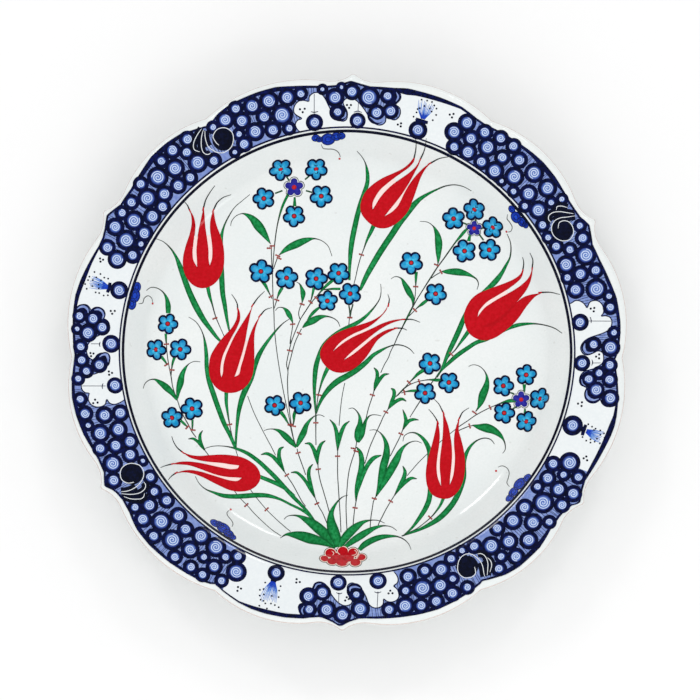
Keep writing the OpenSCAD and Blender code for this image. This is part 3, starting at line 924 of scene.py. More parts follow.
# Stems and small leaves of each spray; the widths of a leaf rise and fall along it
SPRAYS = {
    "upper_left": [
        [(-31, 95, .9), (-33, 98)], [(-22.5, 95.5, .9), (-19, 98.5)], [(-34.5, 89.5, .9), (-38.5, 88)],
        [(-22, 89.5, .9), (-18.5, 88.5)], [(-28, 86, 1), (-28, 81, 2)],
        [(-31, 88.5, 1.6), (-34.5, 81, 1.3), (-37, 72, .7), (-38.5, 62, .6), (-39.3, 53, .5), (-39.8, 44, .5),
         (-39.7, 38), (-39.4, 30), (-39, 23), (-38.8, 16, .45), (-38.3, 10), (-37.5, 3), (-36.5, -4),
         (-35, -13), (-33.5, -21), (-32, -28), (-30.5, -35), (-29.5, -40, .8), (-28.5, -44.5, .6),
         (-27, -49, .6)],
        [(-40.8, 60.5, .3), (-43.6, 65, 3), (-47.5, 70.5, 5), (-51.5, 75, 3), (-56, 77, .6),
         (-59.5, 75.6, .4), (-62, 72, .35), (-62.2, 70.3, .25)],
        [(-40.5, 60, .5), (-40.3, 52), (-39.8, 44)],
        [(-36.5, 54.5, .3), (-32, 58, 3), (-27, 60.5, 4.2), (-22, 62.6, 3), (-17.5, 63.5, .8), (-15, 63, .5),
         (-10.5, 60, .4), (-8, 54, .3)],
        [(-36.8, 54, .5), (-38.3, 50), (-39.3, 47)],
        [(-46, 40.7, 1), (-44, 38.8, 1.8), (-42.5, 36, 1.2), (-41.3, 33.5, .6), (-40, 31, .5)],
        [(-34.5, 37, 1.6), (-36, 34.5, 1.6), (-37, 32, .8), (-38, 28.5, .5), (-39, 25.5, .4)],
        [(-38.3, 24.5, .3), (-37, 26, .4), (-34.5, 26.2, .6), (-32.5, 24.8, 2), (-31, 22.5, 2.8),
         (-29.7, 20, 1.6), (-29, 17.8, .6), (-29.2, 15, .5), (-30, 10, .5), (-30.3, 6.5, .8)],
    ],
    "centre": [
        [(-7, 41.5, 1.8), (-10, 39, 1.7), (-13, 36, 1.2), (-16, 32.5, .6), (-19, 29, .6), (-22, 24.5, .6),
         (-24.8, 20, .5), (-26.5, 16), (-28.5, 11), (-30, 6.5), (-30.8, 3), (-31.7, -1), (-32.2, -5),
         (-31.5, -8), (-31.7, -12), (-31.6, -18), (-31.2, -24), (-30.5, -31), (-29.5, -38, .5)],
        [(-17.7, 37, 1.6), (-18.3, 34, 1.2), (-19, 31, .7), (-19.8, 28.7, .5)],
        [(-14.5, 26.5, 1.2), (-17.5, 24, 1.8), (-20.3, 20.5, 1.2), (-21.5, 18, .8)],
        [(-23.8, 15.3, .6), (-21.5, 17.3, 2.6), (-18, 19.3, 3.8), (-14.5, 21, 2.6), (-11, 21.5, 1),
         (-8, 20.8, .6), (-5, 18.8, .5), (-3.7, 15.8, .3)],
        [(-24.3, 14.8, .5), (-25.5, 12.3), (-27.5, 8), (-29, 3), (-30, -1), (-31, -5), (-31.5, -8)],
        [(-27, 40, .3), (-25.5, 39.2, .6), (-24.3, 36.8, 1.6), (-23.5, 34, 2.8), (-23.7, 31, 1.6),
         (-24, 28.8, .5), (-25, 26.5), (-25.8, 23), (-25.3, 20.5), (-24.8, 19.5)],
        [(-3.5, 36.3, 1.4), (-8, 36.3, 1.2), (-11, 36, .8), (-13.5, 35.8, .4)],
        [(1, 27.5, .8), (1.5, 24), (1.6, 21), (1.3, 20, .5), (1, 17)],
        [(3.2, 28, .8), (2.2, 24.5), (1.6, 21)],
    ],
    "upper_right": [
        [(68.5, 71.5, .9), (69, 74.5)], [(70.5, 69, .9), (74, 69.2)], [(64.5, 71, .9), (62, 72)],
        [(66, 66.5, 1), (65, 62, 2)], [(70.5, 66, .9), (73, 62.5)],
        [(65, 69.5, .6), (63, 67.5, 1.6), (60.5, 64.5, 1.5), (58, 61.5, .9), (55.5, 58, .8), (52, 53, .7),
         (48, 47.5, .7), (44.5, 42, .8), (41, 36.5, .6), (37, 30, .6), (34.5, 25.5, .9), (32, 20.5, 1),
         (29.5, 15.5, .7), (27, 10.5, .6), (25.3, 6.5, .5), (23.5, 3, .45), (22, -1), (20, -4.5),
         (18, -9, .45)],
        [(39, 72.8, .3), (43, 72.4, .4), (45.8, 70.5, .6), (48, 66.5, 2.6), (49, 61, 4), (48.9, 56, 3),
         (48.8, 52, 1.5), (48.6, 50, .6), (44.8, 42, .5)],
        [(50.5, 45.7, .4), (52.5, 45.6, 2), (56, 45.6, 3.4), (60, 45.3, 3.8), (64, 44.3, 2.4), (67, 43, 1.2),
         (69.3, 41.3, .7), (70.2, 39, .5), (69.4, 35.8, .3)],
        [(50.3, 45.4, .5), (47, 43.5), (45, 42)],
        [(37, 45.5, 1.8), (36.8, 41.5, 1.3), (36.7, 38, .6), (36.3, 32, .5), (35.3, 27.5, .5),
         (34.3, 25, .5)],
        [(43.5, 30.8, 1.4), (40, 28, 1.7), (38, 26.5, .8), (35.5, 24, .5), (33, 21.5, .5)],
        [(23.5, 41.7, .3), (25.5, 42.9, .4), (28.5, 42.3, .7), (31, 38.5, 2.6), (33.3, 34.3, 3.3),
         (35, 31, 2), (35.2, 28, .8), (34.8, 25.5, .5)],
    ],
    "left": [
        [(-96.7, 12, 1.5), (-96.5, 8.5, 1), (-96.3, 6, .6), (-95.8, 0, .5), (-94.8, -6, .5), (-93.8, -11, .6),
         (-92.8, -17, .5), (-91.5, -21), (-90, -25), (-88.5, -29.5), (-86.5, -33.5, .6), (-84, -38, .6),
         (-82.5, -41, .6), (-80.3, -44, .5)],
        [(-107, 34, .3), (-104.5, 36, .4), (-101, 36, .5), (-98, 34, .8), (-96.3, 31, 1.8), (-95.5, 27, 2.9),
         (-95.4, 23, 2.4)],
        [(-99, -.5, 1.8), (-97, -3, 1.2), (-95.8, -5, .6)],
        [(-92, -.8, 1.6), (-93, -4, 1.2), (-93.5, -7.5, .6), (-93.8, -11, .5)],
        [(-88.6, -34.8, 1.4), (-86.5, -36.8, 1.3), (-85, -38.2, .6)],
        [(-82.3, -34.5, 1.2), (-82.3, -38, 1), (-82.5, -40, .6)],
        [(-108.5, -18.5, .3), (-107.5, -15.5, .4), (-105.5, -13.5, .5), (-103, -12.8, .8),
         (-99.5, -14.5, 2.6), (-96, -17.3, 3.6), (-93, -20.3, 2.6), (-90.5, -23.8, 1.2)],
        [(-78.2, -3.2, .3), (-81.5, -3, .4), (-84.5, -4.5, .5), (-86.3, -6.8, 1.6), (-88, -10.5, 2.9),
         (-88.8, -14.5, 3.7), (-89.8, -18.5, 2.6), (-90.4, -23, 1)],
    ],
    "lower_left": [
        [(-35.5, -30, 2), (-33.5, -32.5, 1.7), (-31.8, -35.5, 1), (-30, -38.3, .5)],
        [(-27.3, -29, 1.6), (-28.2, -32, 1.8), (-28.3, -35, 1), (-28.9, -38, .5)],
        [(-44.3, -40.3, .3), (-42, -39.5, .4), (-39.5, -39.4, .6), (-36, -40.5, 2), (-33, -43, 3.3),
         (-30, -46, 3), (-27, -49.2, 1.2)],
        [(-12, -32.7, .3), (-14, -31.8, .4), (-16.5, -32, .5), (-19.5, -34.3, 1.2), (-21.7, -37.5, 2.4),
         (-23, -41, 3.4), (-25, -45, 3), (-26.8, -49, 1.2)],
        [(-26.6, -50, .5), (-26, -52.5), (-24.8, -56), (-23, -61), (-22, -64)],
    ],
    "far_right": [
        [(94.5, -19.5, .9), (94.5, -15.3, 2)], [(97.5, -23.5, .9), (98.5, -23.5)],
        [(94.8, -28.5, .9), (94.8, -31, 1.5)], [(90.5, -27.3, .9), (88, -28.8)], [(89, -20.5, .9),
                                                                                  (87, -19.8)],
        [(90, -24.2, 1.8), (86.5, -24.3, 2), (83.5, -25, 1.2), (80, -26.3, .6), (76, -28, .5), (72, -30),
         (68.5, -32), (64.5, -34.8), (60.5, -37.5), (59.3, -38.3)],
        [(59.3, -38.3, .4), (50, -46), (42, -53.5), (38, -57.5), (34.5, -61.5), (32, -64.5)],
        [(64.8, -5.7, .3), (67, -4.8, .35), (70, -5.3, .4), (72.8, -7.5, .5), (74.3, -10.2, 1),
         (74.7, -12.5, 1.8), (74, -17, 3.6), (72.4, -21, 4.3), (71.2, -25, 3.2), (69.9, -28, 1.2),
         (68.5, -30, .5)],
        [(66.8, -37.3, .5), (70, -38.2, 2.8), (74, -38.8, 4.8), (78, -40.2, 4), (81.5, -42.8, 2.4),
         (83.3, -45.2, 1), (84.2, -48, .6), (84, -51, .4), (82.8, -52.5, .3)],
        [(59.5, -40.2, .5), (62.5, -38.9), (65.5, -37.8), (67, -37.6)],
        [(41, -7.5, 2.2), (38, -9.5, 1.8), (35.5, -12, 1), (33, -14.5, .5), (30, -18), (27, -21.3)],
        [(37.5, -18.8, 1.6), (34, -18.8, 1.3), (31, -19.3, .6), (29, -20, .4)],
        [(50, -13, 1.6), (48, -13, 1.8), (44, -12.8, .8), (40, -13.3, .5), (37, -14), (34, -15.2),
         (31, -17, .8), (28.5, -19.5, .8), (26, -22, .5)],
    ],
}


def sprays():
    """The stems and small leaves of each spray."""
    for spray, strokes in SPRAYS.items():
        green = Coat()
        for line in strokes:
            stem(green, line)
        make_piece(f"spray_{spray}", green, GREEN_PAINT)


sprays()


# ---------------------------------------------------------------- twin-leaf sprigs

# Each sprig is its strokes: two blades that meet at their base, then the stem above and below
SPRIGS = [
    [[(-84.5, -44.8, .4), (-82, -44.6, 1.3), (-79.5, -46.2, 1.6), (-77.3, -48.6, 1.8), (-75.7, -50.8, .8)],
     [(-76.8, -40.2, .4), (-78, -42, 1.3), (-78.3, -45, 1.9), (-77, -48.5, 1.4), (-75.7, -50.8, .8)],
     [(-75.7, -50.8, .5), (-73.7, -53.5)]],
    [[(-45.8, -53.2, .5), (-43, -52.6, 1.6), (-40, -53.8, 1.9), (-37, -56.8, 2.2), (-34.5, -60, 1.8),
      (-33.3, -62.4, .6)],
     [(-33.6, -49, .5), (-35.5, -50, 1.6), (-36.2, -53, 2), (-35.8, -56.5, 2.4), (-34.5, -60, 1.8),
      (-33.3, -62.4, .6)],
     [(-53, -21.5, .4), (-50, -29.5), (-45, -40), (-40, -49.5), (-38, -53.5)],
     [(-33.3, -62.4, .5), (-31.3, -65.5), (-29, -69), (-26, -74.5), (-23.5, -79), (-22, -81)]],
    [[(-29.8, -62.8, .5), (-27, -62.7, 1.4), (-24.5, -64.5, 1.7), (-21.8, -67.8, 1.8), (-19.5, -71.8, 1.7),
      (-17.2, -76, .8)],
     [(-18.2, -58.3, .5), (-19.8, -60.3, 1.5), (-20.4, -63.5, 2), (-19.8, -67.5, 2.2), (-18.8, -71.5, 2),
      (-17, -76.3, .7)],
     [(-17, -76.3, .5), (-15, -81), (-13, -84.5), (-10.7, -90)]],
    [[(-22.5, -47.2, .5), (-20, -47.2, 1.5), (-18, -49.8, 2), (-16.5, -54, 2.2), (-15.6, -58.5, .7)],
     [(-11.5, -45.6, .5), (-13.5, -47.2, 1.6), (-15, -50.5, 2.2), (-15.7, -54.5, 1.8), (-15.5, -58.5, .7)]],
    [[(-9.2, -34.2, .4), (-7, -36.8, 1.5), (-5.7, -40.5, 2.1), (-5, -45.5, 2.3), (-5, -51, .6)],
     [(1.4, -35, .4), (-1, -37, 1.6), (-2.8, -40.5, 2.2), (-4.2, -45.5, 2), (-5, -51, .6)],
     [(-1.2, -14.5, .4), (-2.5, -21), (-3.5, -29), (-4.2, -37.5)],
     [(-5, -51, .5), (-5, -56), (-5, -63), (-4.5, -72), (-4, -80), (-3.5, -88), (-3.2, -95)]],
    [[(14.3, -6.2, .5), (15.8, -8, 1.6), (16.1, -11.5, 2), (15.2, -15, 1.9), (14.4, -18.8, .6)],
     [(22.5, -9.6, .4), (20, -10, 1.5), (17.5, -12.5, 2), (15.6, -15.8, 1.6), (14.4, -18.8, .6)],
     [(14.4, -18.8, .5), (13.3, -22.5), (11.5, -28), (10, -34), (9, -37)]],
    [[(.8, -28.5, .3), (3, -28, .4), (5, -29.5, .6), (6.3, -31.5, 1), (7, -36, 2.6), (6, -41, 4),
      (5.7, -45, 3), (5.5, -46.5, 1.2)],
     [(18.3, -32.3, .3), (15.5, -31.7, .4), (12.5, -32, .6), (10.3, -34.3, 1.4), (9, -38, 2.4), (7.5, -43, 3),
      (5.8, -46.5, 1.5)],
     [(5.2, -46, .5), (4.7, -49), (4, -52), (2.7, -56), (1.3, -61), (.5, -66), (0, -72), (-.5, -80),
      (-.3, -88), (0, -94)]],
    [[(23.4, -17.4, .5), (24.8, -18.3, 1.7), (25.1, -21, 2), (23.8, -24.5, 1.9), (22, -28.3, .6)],
     [(31.6, -24.4, .5), (29.5, -23.2, 1.6), (26.8, -24, 2), (24.2, -26, 1.8), (22, -28.5, .7)],
     [(22, -28.5, .5), (20, -31.5), (17.5, -37), (14.5, -43.5), (12, -49.5), (10.5, -54.5), (9.5, -58)]],
    [[(29.7, -28.8, .4), (30.8, -32, 1.5), (31.4, -35, 2), (30.7, -37.5, 1.6), (29.6, -40, .5)],
     [(38.2, -34.5, .4), (35.5, -34.2, 1.5), (33, -35, 1.9), (31.2, -37.3, 1.5), (29.6, -40, .5)],
     [(29.6, -40, .5), (28, -44), (26, -48), (24, -52), (23, -54)]],
    [[(12, -40, .3), (15, -39.8, .4), (17.5, -41.2, .6), (19.5, -43.8, 1.4), (21, -48, 2.6), (21, -53, 3.8),
      (19.5, -59, 4.2), (18.3, -65, 3.6), (17, -71, 2.2), (15.5, -75.5, .8)],
     [(39.8, -47, .3), (37, -45.9, .4), (34, -46.4, .6), (31, -48.2, 1.2), (28.3, -51.5, 2.6),
      (26.5, -55.5, 4), (23.5, -61, 4.4), (20.5, -66.5, 3.6), (17.7, -71.5, 2.2), (15.5, -75.5, .8)],
     [(15.5, -75.5, .5), (14.2, -78), (13.5, -82), (12.7, -87), (12.3, -92.5)]],
    [[(5, -49, .5), (6.8, -51.5, 2), (7.8, -55.5, 2.8), (7.5, -61, 3), (6, -67, 2.6), (5, -73, 2),
      (4.8, -78.5, .6)],
     [(18.3, -53.5, .6), (14.5, -54.8, 2.2), (11.5, -58, 2.4), (9, -63, 2.2), (6.8, -69, 2), (5.2, -74, 1.6),
      (4.8, -78.5, .6)],
     [(4.8, -78.5, .5), (4, -83), (3.6, -87), (3.2, -91)]],
    [[(29.7, -59.3, .5), (30.8, -62, 1.7), (30.3, -65.5, 2.4), (28.5, -69, 2), (25.3, -75, .6)],
     [(37.2, -66.2, .4), (34.5, -65.8, 1.6), (31.5, -67.5, 2.2), (28.5, -70.5, 1.9), (25.3, -75, .6)],
     [(25.3, -75, .5), (22.5, -79.5), (20.5, -83), (18.5, -87), (17, -90), (16.3, -92)]],
]
ROOT_LEAVES = [
    [(-35.5, -98.2, .3), (-32.5, -96.2, 1.2), (-28.5, -96.2, 3.4), (-24, -97, 5.2), (-19.5, -98.3, 5.8),
     (-14.5, -99.6, 4.6), (-9.5, -101.3, 3.2), (-6, -102.8, 2)],
    [(34, -105, .3), (33, -102, .4), (30.5, -99, .6), (27, -97.3, .8), (22.5, -97, 1.8), (17, -97.8, 3),
     (12.5, -99.6, 3.4), (8.8, -102, 3.2), (6.5, -104.5, 2.2)],
    [(-33.5, -88, .3), (-32, -86.5, .4), (-29, -85.8, .6), (-25.5, -86.3, 1.4), (-22, -88, 3.2),
     (-18, -90.5, 5), (-14, -93.8, 5.6), (-10, -97.5, 5), (-6.5, -101.5, 3.4)],
    [(26.5, -94, .3), (23.5, -92, .4), (20, -91.4, .7), (15.5, -92.3, 1.8), (11, -94.5, 3.2),
     (6.5, -97.3, 3.8), (2.5, -100, 3.2), (-1, -102.8, 2)],
    [(.5, -75, .3), (-1.5, -75.5, .4), (-4, -77.3, .7), (-6.5, -80.5, 1.4), (-8.3, -84.5, 2.6),
     (-8.5, -89, 4.6), (-7.3, -94, 6), (-5.5, -99, 5), (-5, -103, 3)],
    [(20, -90, .3), (17, -88.7, .4), (13, -88.4, .6), (9, -89.3, 1.8), (5.5, -91.5, 3.6), (2, -94.5, 4.6),
     (-1.5, -98.5, 4.2), (-4, -102.5, 3)],
]


def sprigs():
    """The twin-leaf sprigs in the lower half of the well."""
    green = Coat()
    for blades in SPRIGS:
        for line in blades:
            stem(green, line)
    make_piece("sprigs", green, GREEN_PAINT)


def root_leaves():
    """The broad leaves over the rock, each a little higher than the one before."""
    green = Coat()
    for i, line in enumerate(ROOT_LEAVES):
        leaf(green, line, LEAF_LIFT + LEAF_STEP * i)
    make_piece("root_leaves", green, GREEN_PAINT)


sprigs()
root_leaves()

JOINT_SPACING = 0.95
JOINT_DOT = 0.52

# Where the stems carry a joint: a short row of brown dots across the stem
JOINTS = [
    (-70.5, 20.3), (-62.5, -37), (-42.7, -82.6), (7.7, 54.8), (55.5, 1), (-15, -21), (-16.6, -36),
    (-53.5, -80.3), (44.2, -87), (-40, 59.5), (-41.5, 58.3), (-37, 54.2), (-36.3, 52.8), (-40.6, 32.2),
    (-37.5, 30.3), (-16.3, 31.3), (-30.7, 3), (-19.5, 29.2), (-25.5, 12.3), (-29, 17.2), (-24, 28),
    (1.5, 20.8), (47.8, 49.2), (50.2, 45.5), (36.7, 37.5), (36.3, 24.8), (-96.3, 6.3), (-96.2, -4.8),
    (-93.3, -7.6), (-85, -38.5), (-82, -40), (-30.3, -37), (-28.5, -37.8), (-26, -52.2), (76.2, -27.8),
    (67.8, -30.5), (65.3, -37.8), (33, -14.2), (30.6, -19.7), (38.5, -13.8), (-32, -64.2), (-16, -79.5),
    (-15.3, -61), (-5, -54), (13.5, -21), (3.3, -49.8), (4.8, -51.3), (20.7, -30.2), (28.7, -42),
    (14.5, -76.8), (4.3, -81.8), (23.2, -78.2),
]


def joint(coat, place):
    """Three dots in a row across the nearest stem."""
    place = np.array(place)
    gaps = [np.linalg.norm(line - place, axis=1) for line in STEMS]
    line = STEMS[int(np.argmin([g.min() for g in gaps]))]
    i = int(np.linalg.norm(line - place, axis=1).argmin())
    along = line[min(i + 1, len(line) - 1)] - line[max(i - 1, 0)]
    across = np.array([-along[1], along[0]]) / np.linalg.norm(along)
    for step in (-1, 0, 1):
        star(coat, place + step * JOINT_SPACING * across, JOINT_DOT, BLOSSOM_LIFT, steps=10)


def joints():
    """The joints of all the stems."""
    dots = Coat()
    for place in JOINTS:
        joint(dots, place)
    make_piece("stem_joints", dots, BROWN_PAINT)


joints()


# ---------------------------------------------------------------- red rock and cobalt rosettes

# The bubbles of the rock: (x, y, radius)
ROCK = [
    (-5.5, -109, 3.1), (0.3, -109, 3.4), (-11.9, -109.8, 2.1), (-7.9, -111.4, 2.5), (-8.7, -106.7, 2.8),
    (4.5, -112.1, 2.7), (7.6, -109, 2.3), (-2.5, -111.6, 3.4), (-2.2, -105.7, 2.75), (3.2, -106.3, 2.55),
]
# The pale curls on the bubbles: (centre, radius, first degree, last degree)
ROCK_CURLS = [
    ((3.2, -106.3), 1.9, -110, 70), ((-8.7, -106.7), 1.7, -50, 70), ((-2.5, -111.6), 3.2, -50, 0),
    ((-2.2, -105.7), 2.6, 190, 235), ((7.6, -109), 2, 120, 200),
]
ROCK_STRETCH = 0.15
ROCK_GAP = 0.5
ROCK_EDGE = 0.35
ROCK_EDGE_LIFT, ROCK_GAP_LIFT, ROCK_LIFT, ROCK_CURL_LIFT = 0.07, 0.12, 0.20, 0.25


def bubble(radius):
    """The reach of a bubble, which is longer down the slope of the side."""
    return lambda a: radius * (1 + ROCK_STRETCH * math.sin(a) ** 2)


def red_rock():
    """The bubbly red rock at the foot of the stems, in a cream gap and a thin dark line."""
    line, gap, red, curls = Coat(), Coat(), Coat(), Coat()
    for x, y, radius in ROCK:
        star(line, (x, y), bubble(radius + ROCK_GAP + ROCK_EDGE), ROCK_EDGE_LIFT)
        star(gap, (x, y), bubble(radius + ROCK_GAP), ROCK_GAP_LIFT)
        star(red, (x, y), bubble(radius), ROCK_LIFT)
    for centre, radius, first, last in ROCK_CURLS:
        angles = np.radians(np.linspace(first, last, 7))
        curl = around(centre, np.full_like(angles, radius), angles)
        even_strokes(curls, [curl], 0.35, ROCK_CURL_LIFT)
    make_piece("rock_outline", line, INK_PAINT)
    make_piece("rock_gap", gap, CREAM)
    make_piece("rock", red, RED_PAINT)
    make_piece("rock_curls", curls, CREAM)


ROSETTE_LIFT, FOLD_LIFT = 0.08, 0.11
ROSETTE_SPREAD = 1.3

# Half rosettes: the lobes as (x, y, radius), the tendril's line, and the dot at its end
ROSETTES = [
    {"lobes": plan([(98.2, 117, 1.8), (97.3, 116.2, 1.5), (95, 115.8, 3), (92.8, 116.8, 2.2),
                    (91.5, 117, 1.8)]),
     "tendril": [(-13.8, 113), (-12.8, 111.2), (-10.5, 110.9), (-7.5, 110.8), (-5.3, 110), (-4, 108.5),
                 (-3.6, 107.2)], "dot": (-4, 106.4)},
    {"lobes": plan([(41.3, 117, 1.7), (39, 116, 2.6), (37, 116.8, 2.2), (35.8, 117.3, 1.5)]),
     "tendril": [(85.8, 75), (85.4, 73), (87, 70.8), (88.2, 68), (87.5, 66.5), (85.9, 66.3)],
     "dot": (85.2, 66.6)},
    {"lobes": [(95.5, -67.5, 2), (91.5, -70.5, 3), (88.3, -74.8, 2.5), (86.3, -78, 2)],
     "tendril": [(86.3, -71.5), (85, -69.3), (85.8, -66), (86.2, -63), (85, -60.5), (82.5, -59.3),
                 (80.3, -60)],
     "dot": (79.3, -62)},
    {"lobes": [(-70, -91.5, 2.2), (-67.5, -92, 2), (-65.5, -94, 3.2), (-62.8, -97, 2.5), (-60.8, -98.8, 1.8)],
     "tendril": [(-61, -93), (-60.5, -91), (-61.5, -88.8), (-63.3, -86.5), (-63.8, -84.7), (-62.5, -83.2)],
     "dot": (-61.8, -82.8)},
    {"lobes": [(-111.8, 35, 2.2), (-113, 30.5, 3), (-114.5, 26, 2.5)],
     "tendril": [(-111, 26.6), (-109, 27.2), (-108, 30), (-105.8, 31.5), (-104.2, 30.5), (-103.7, 28.5)],
     "dot": (-103.7, 27.8)},
]


def rosettes():
    """Half rosettes that hang from the ring into the well, each with a tendril and a red dot."""
    lobes, folds, tendrils, dots = Coat(), Coat(), Coat(), Coat()
    for rosette in ROSETTES:
        for x, y, radius in rosette["lobes"]:
            star(lobes, (x, y), radius * ROSETTE_SPREAD, ROSETTE_LIFT)
            for share in (0.55, 1.2):
                ring_stroke(folds, (x, y), lambda a: radius * share, 0, 0.3, FOLD_LIFT)
        even_strokes(tendrils, [rosette["tendril"]], 0.4)
        star(dots, rosette["dot"], 0.6, ROSETTE_LIFT, steps=12)
    make_piece("rosette_lobes", lobes, COBALT_PAINT)
    make_piece("rosette_folds", folds, NAVY_PAINT)
    make_piece("rosette_tendrils", tendrils, FINE_INK)
    make_piece("rosette_dots", dots, DOT_RED)


red_rock()
rosettes()


# ---------------------------------------------------------------- the border round the rim

# Lifts of the border's coats, from the ground up
GROUND_LIFT, HATCH_LIFT, PANEL_LIFT = 0.03, 0.06, 0.09
BLACK_RING_LIFT, NAVY_RING_LIFT = 0.10, 0.11
LOBE_LIFT, PANEL_EDGE_LIFT, PANEL_LINE_LIFT = 0.115, 0.12, 0.125
DISC_RING_LIFT, DISC_RING_STEP = 0.12, 0.02
SPRAY_LIFT, SPRAY_FOOT_LIFT, SPRAY_STEP = 0.12, 0.135, 0.002
CRESCENT_LIFT, CONTOUR_LIFT, EYE_RING_LIFT = 0.14, 0.15, 0.15
DISC_LIFT, SPIRAL_LIFT = 0.17, 0.20
CURL_START_LIFT, CURL_ARM_LIFT, CURL_DISC_LIFT, CURL_LINE_LIFT = 0.175, 0.18, 0.19, 0.23

# (degrees, radius) of the black ring's middle, all round the plate
RING = [(-136, 118.4), (-90, 117.8), (-47, 118.5), (0, 119.2), (30, 118.9), (90, 119.3), (110, 119.3),
        (180, 119.1)]
RING_NAVY_GAP = 1.85
HATCH_START = 126
HATCH_PITCH = 0.6
GROUND_ROWS = 26

# The wavy navy line round the border: (degrees, radius of its outer edge, thickness)
CONTOUR = [
    (101, 145.3, 1.2), (95, 143.2, .9), (92, 143.3, .9), (89.2, 145.5, .9), (87, 144, .9), (85, 143, .9),
    (80, 143.8, 1.5), (77, 145, 2.8), (75, 145, 2.2), (70, 145.2, 1.9), (65, 144.9, 1.1), (61, 143, .9),
    (58.5, 142.5, .9), (56, 143.3, .9), (52, 144.3, 1), (47, 145.3, 1.5), (44, 145.6, 2.3), (40, 145, 2.2),
    (37, 144, 1), (34, 143.2, .9), (32, 143.2, .9), (30, 143.5, .9), (27.6, 145.6, .9), (25, 143.7, .9),
    (23.5, 142.6, .9), (20, 143, .9), (15, 144.6, 1.6), (11, 146, 1.4), (6, 146, 1.4), (4, 145.6, 1.2),
    (2, 145, 1), (0, 144.2, .9), (-1.5, 143, .9), (-2.2, 142.3, .9), (-3, 142.6, .9), (-5, 143.7, .9),
    (-9, 145.7, .9), (-11, 146.4, .9), (-14, 147.3, 1.5), (-16, 147.6, 2.3), (-18, 147.3, 2.4),
    (-22, 146.1, 2), (-25, 145.25, 1.75), (-28, 144.5, 1.3), (-29, 144.3, 1), (-31, 145.5, .9),
    (-33, 147.5, .9), (-33.5, 148, .9), (-34.2, 147.2, .6), (-35, 145.3, .9), (-37, 143.9, 1),
    (-38.5, 143.7, 1), (-41.5, 144.2, 1.2), (-43, 145.2, 1.5), (-46, 146.9, 2.1), (-52, 147.5, 2.1),
    (-55, 146.6, 1.8), (-57, 145.1, 1), (-59, 143.6, .9), (-59.9, 142.75, .9), (-60.5, 143.5, .9),
    (-63, 144.7, 1), (-67, 146, 1.2), (-71, 146.8, 1.5), (-75, 146.4, 1.6), (-79, 145.6, 1.2),
    (-84, 144.4, 1), (-86, 143.8, .9), (-87.5, 143.7, .9), (-89.5, 145.3, .9), (-91.3, 147.8, .9),
    (-92, 147.2, .8), (-93, 145.7, .9), (-95, 143.7, .9), (-96, 143.5, .9), (-98, 144.5, 1),
    (-99, 145.3, 1.8), (-103, 146.7, 1.8), (-107, 147.4, 1.9), (-110, 147.4, 1.5), (-113, 146.7, .7),
    (-117, 144.7, .6), (-119, 143.2, .8), (-120, 144.5, .9), (-122, 145.7, .9), (-125, 146.5, 1.2),
    (-130, 147.5, 1.2), (-135, 147.8, 1.6), (-139, 147, 2), (-141, 145.8, 1.2), (-143, 144.3, 1),
    (-146, 143.4, .9), (-148, 144.2, .9), (-149, 145.3, .9), (-150.3, 147.8, .9), (-152, 145.8, .9),
    (-153, 144.5, 1), (-156, 144.3, 1), (-158, 144.9, 1.2), (-162, 146.8, 1.8), (-166, 147.8, 1.8),
    (-170, 148.1, 1.5), (-173, 147.1, 1.2), (-177, 145.3, 1), (-179, 144.6, 1), (-180, 145.1, 1.2),
    (-184, 146, 1), (-188, 146.9, 1.2), (-191.5, 147.3, 1.8), (-195, 146.5, 2), (-199, 145, 1.3),
    (-203, 143.5, .9), (-205, 143.5, .9), (-207, 144.7, .9), (-209.6, 147.1, .9), (-211, 145.8, .9),
    (-213, 144, .9), (-217, 144.2, 1.1), (-221, 145.8, 2), (-225, 147.5, 2.3), (-229, 147.5, 2.1),
    (-233, 146.5, 1.3), (-235, 144.7, 1), (-237, 143.3, .9), (-238.7, 142.1, .9), (-240, 143.3, .9),
    (-241.7, 145.1, 1), (-245, 146.7, 1.4), (-251, 147.2, 1.6), (-255, 147, 2), (-259, 145.3, 1.2),
]

# How far the usual navy ring reaches past its disc, and how much more than listed the given
# rings, the discs and the contour's thickness are drawn
NAVY_WIDTH = 2.05
RING_SPREAD = 1.06
DISC_SPREAD = 1.05
CONTOUR_SPREAD = 1.25

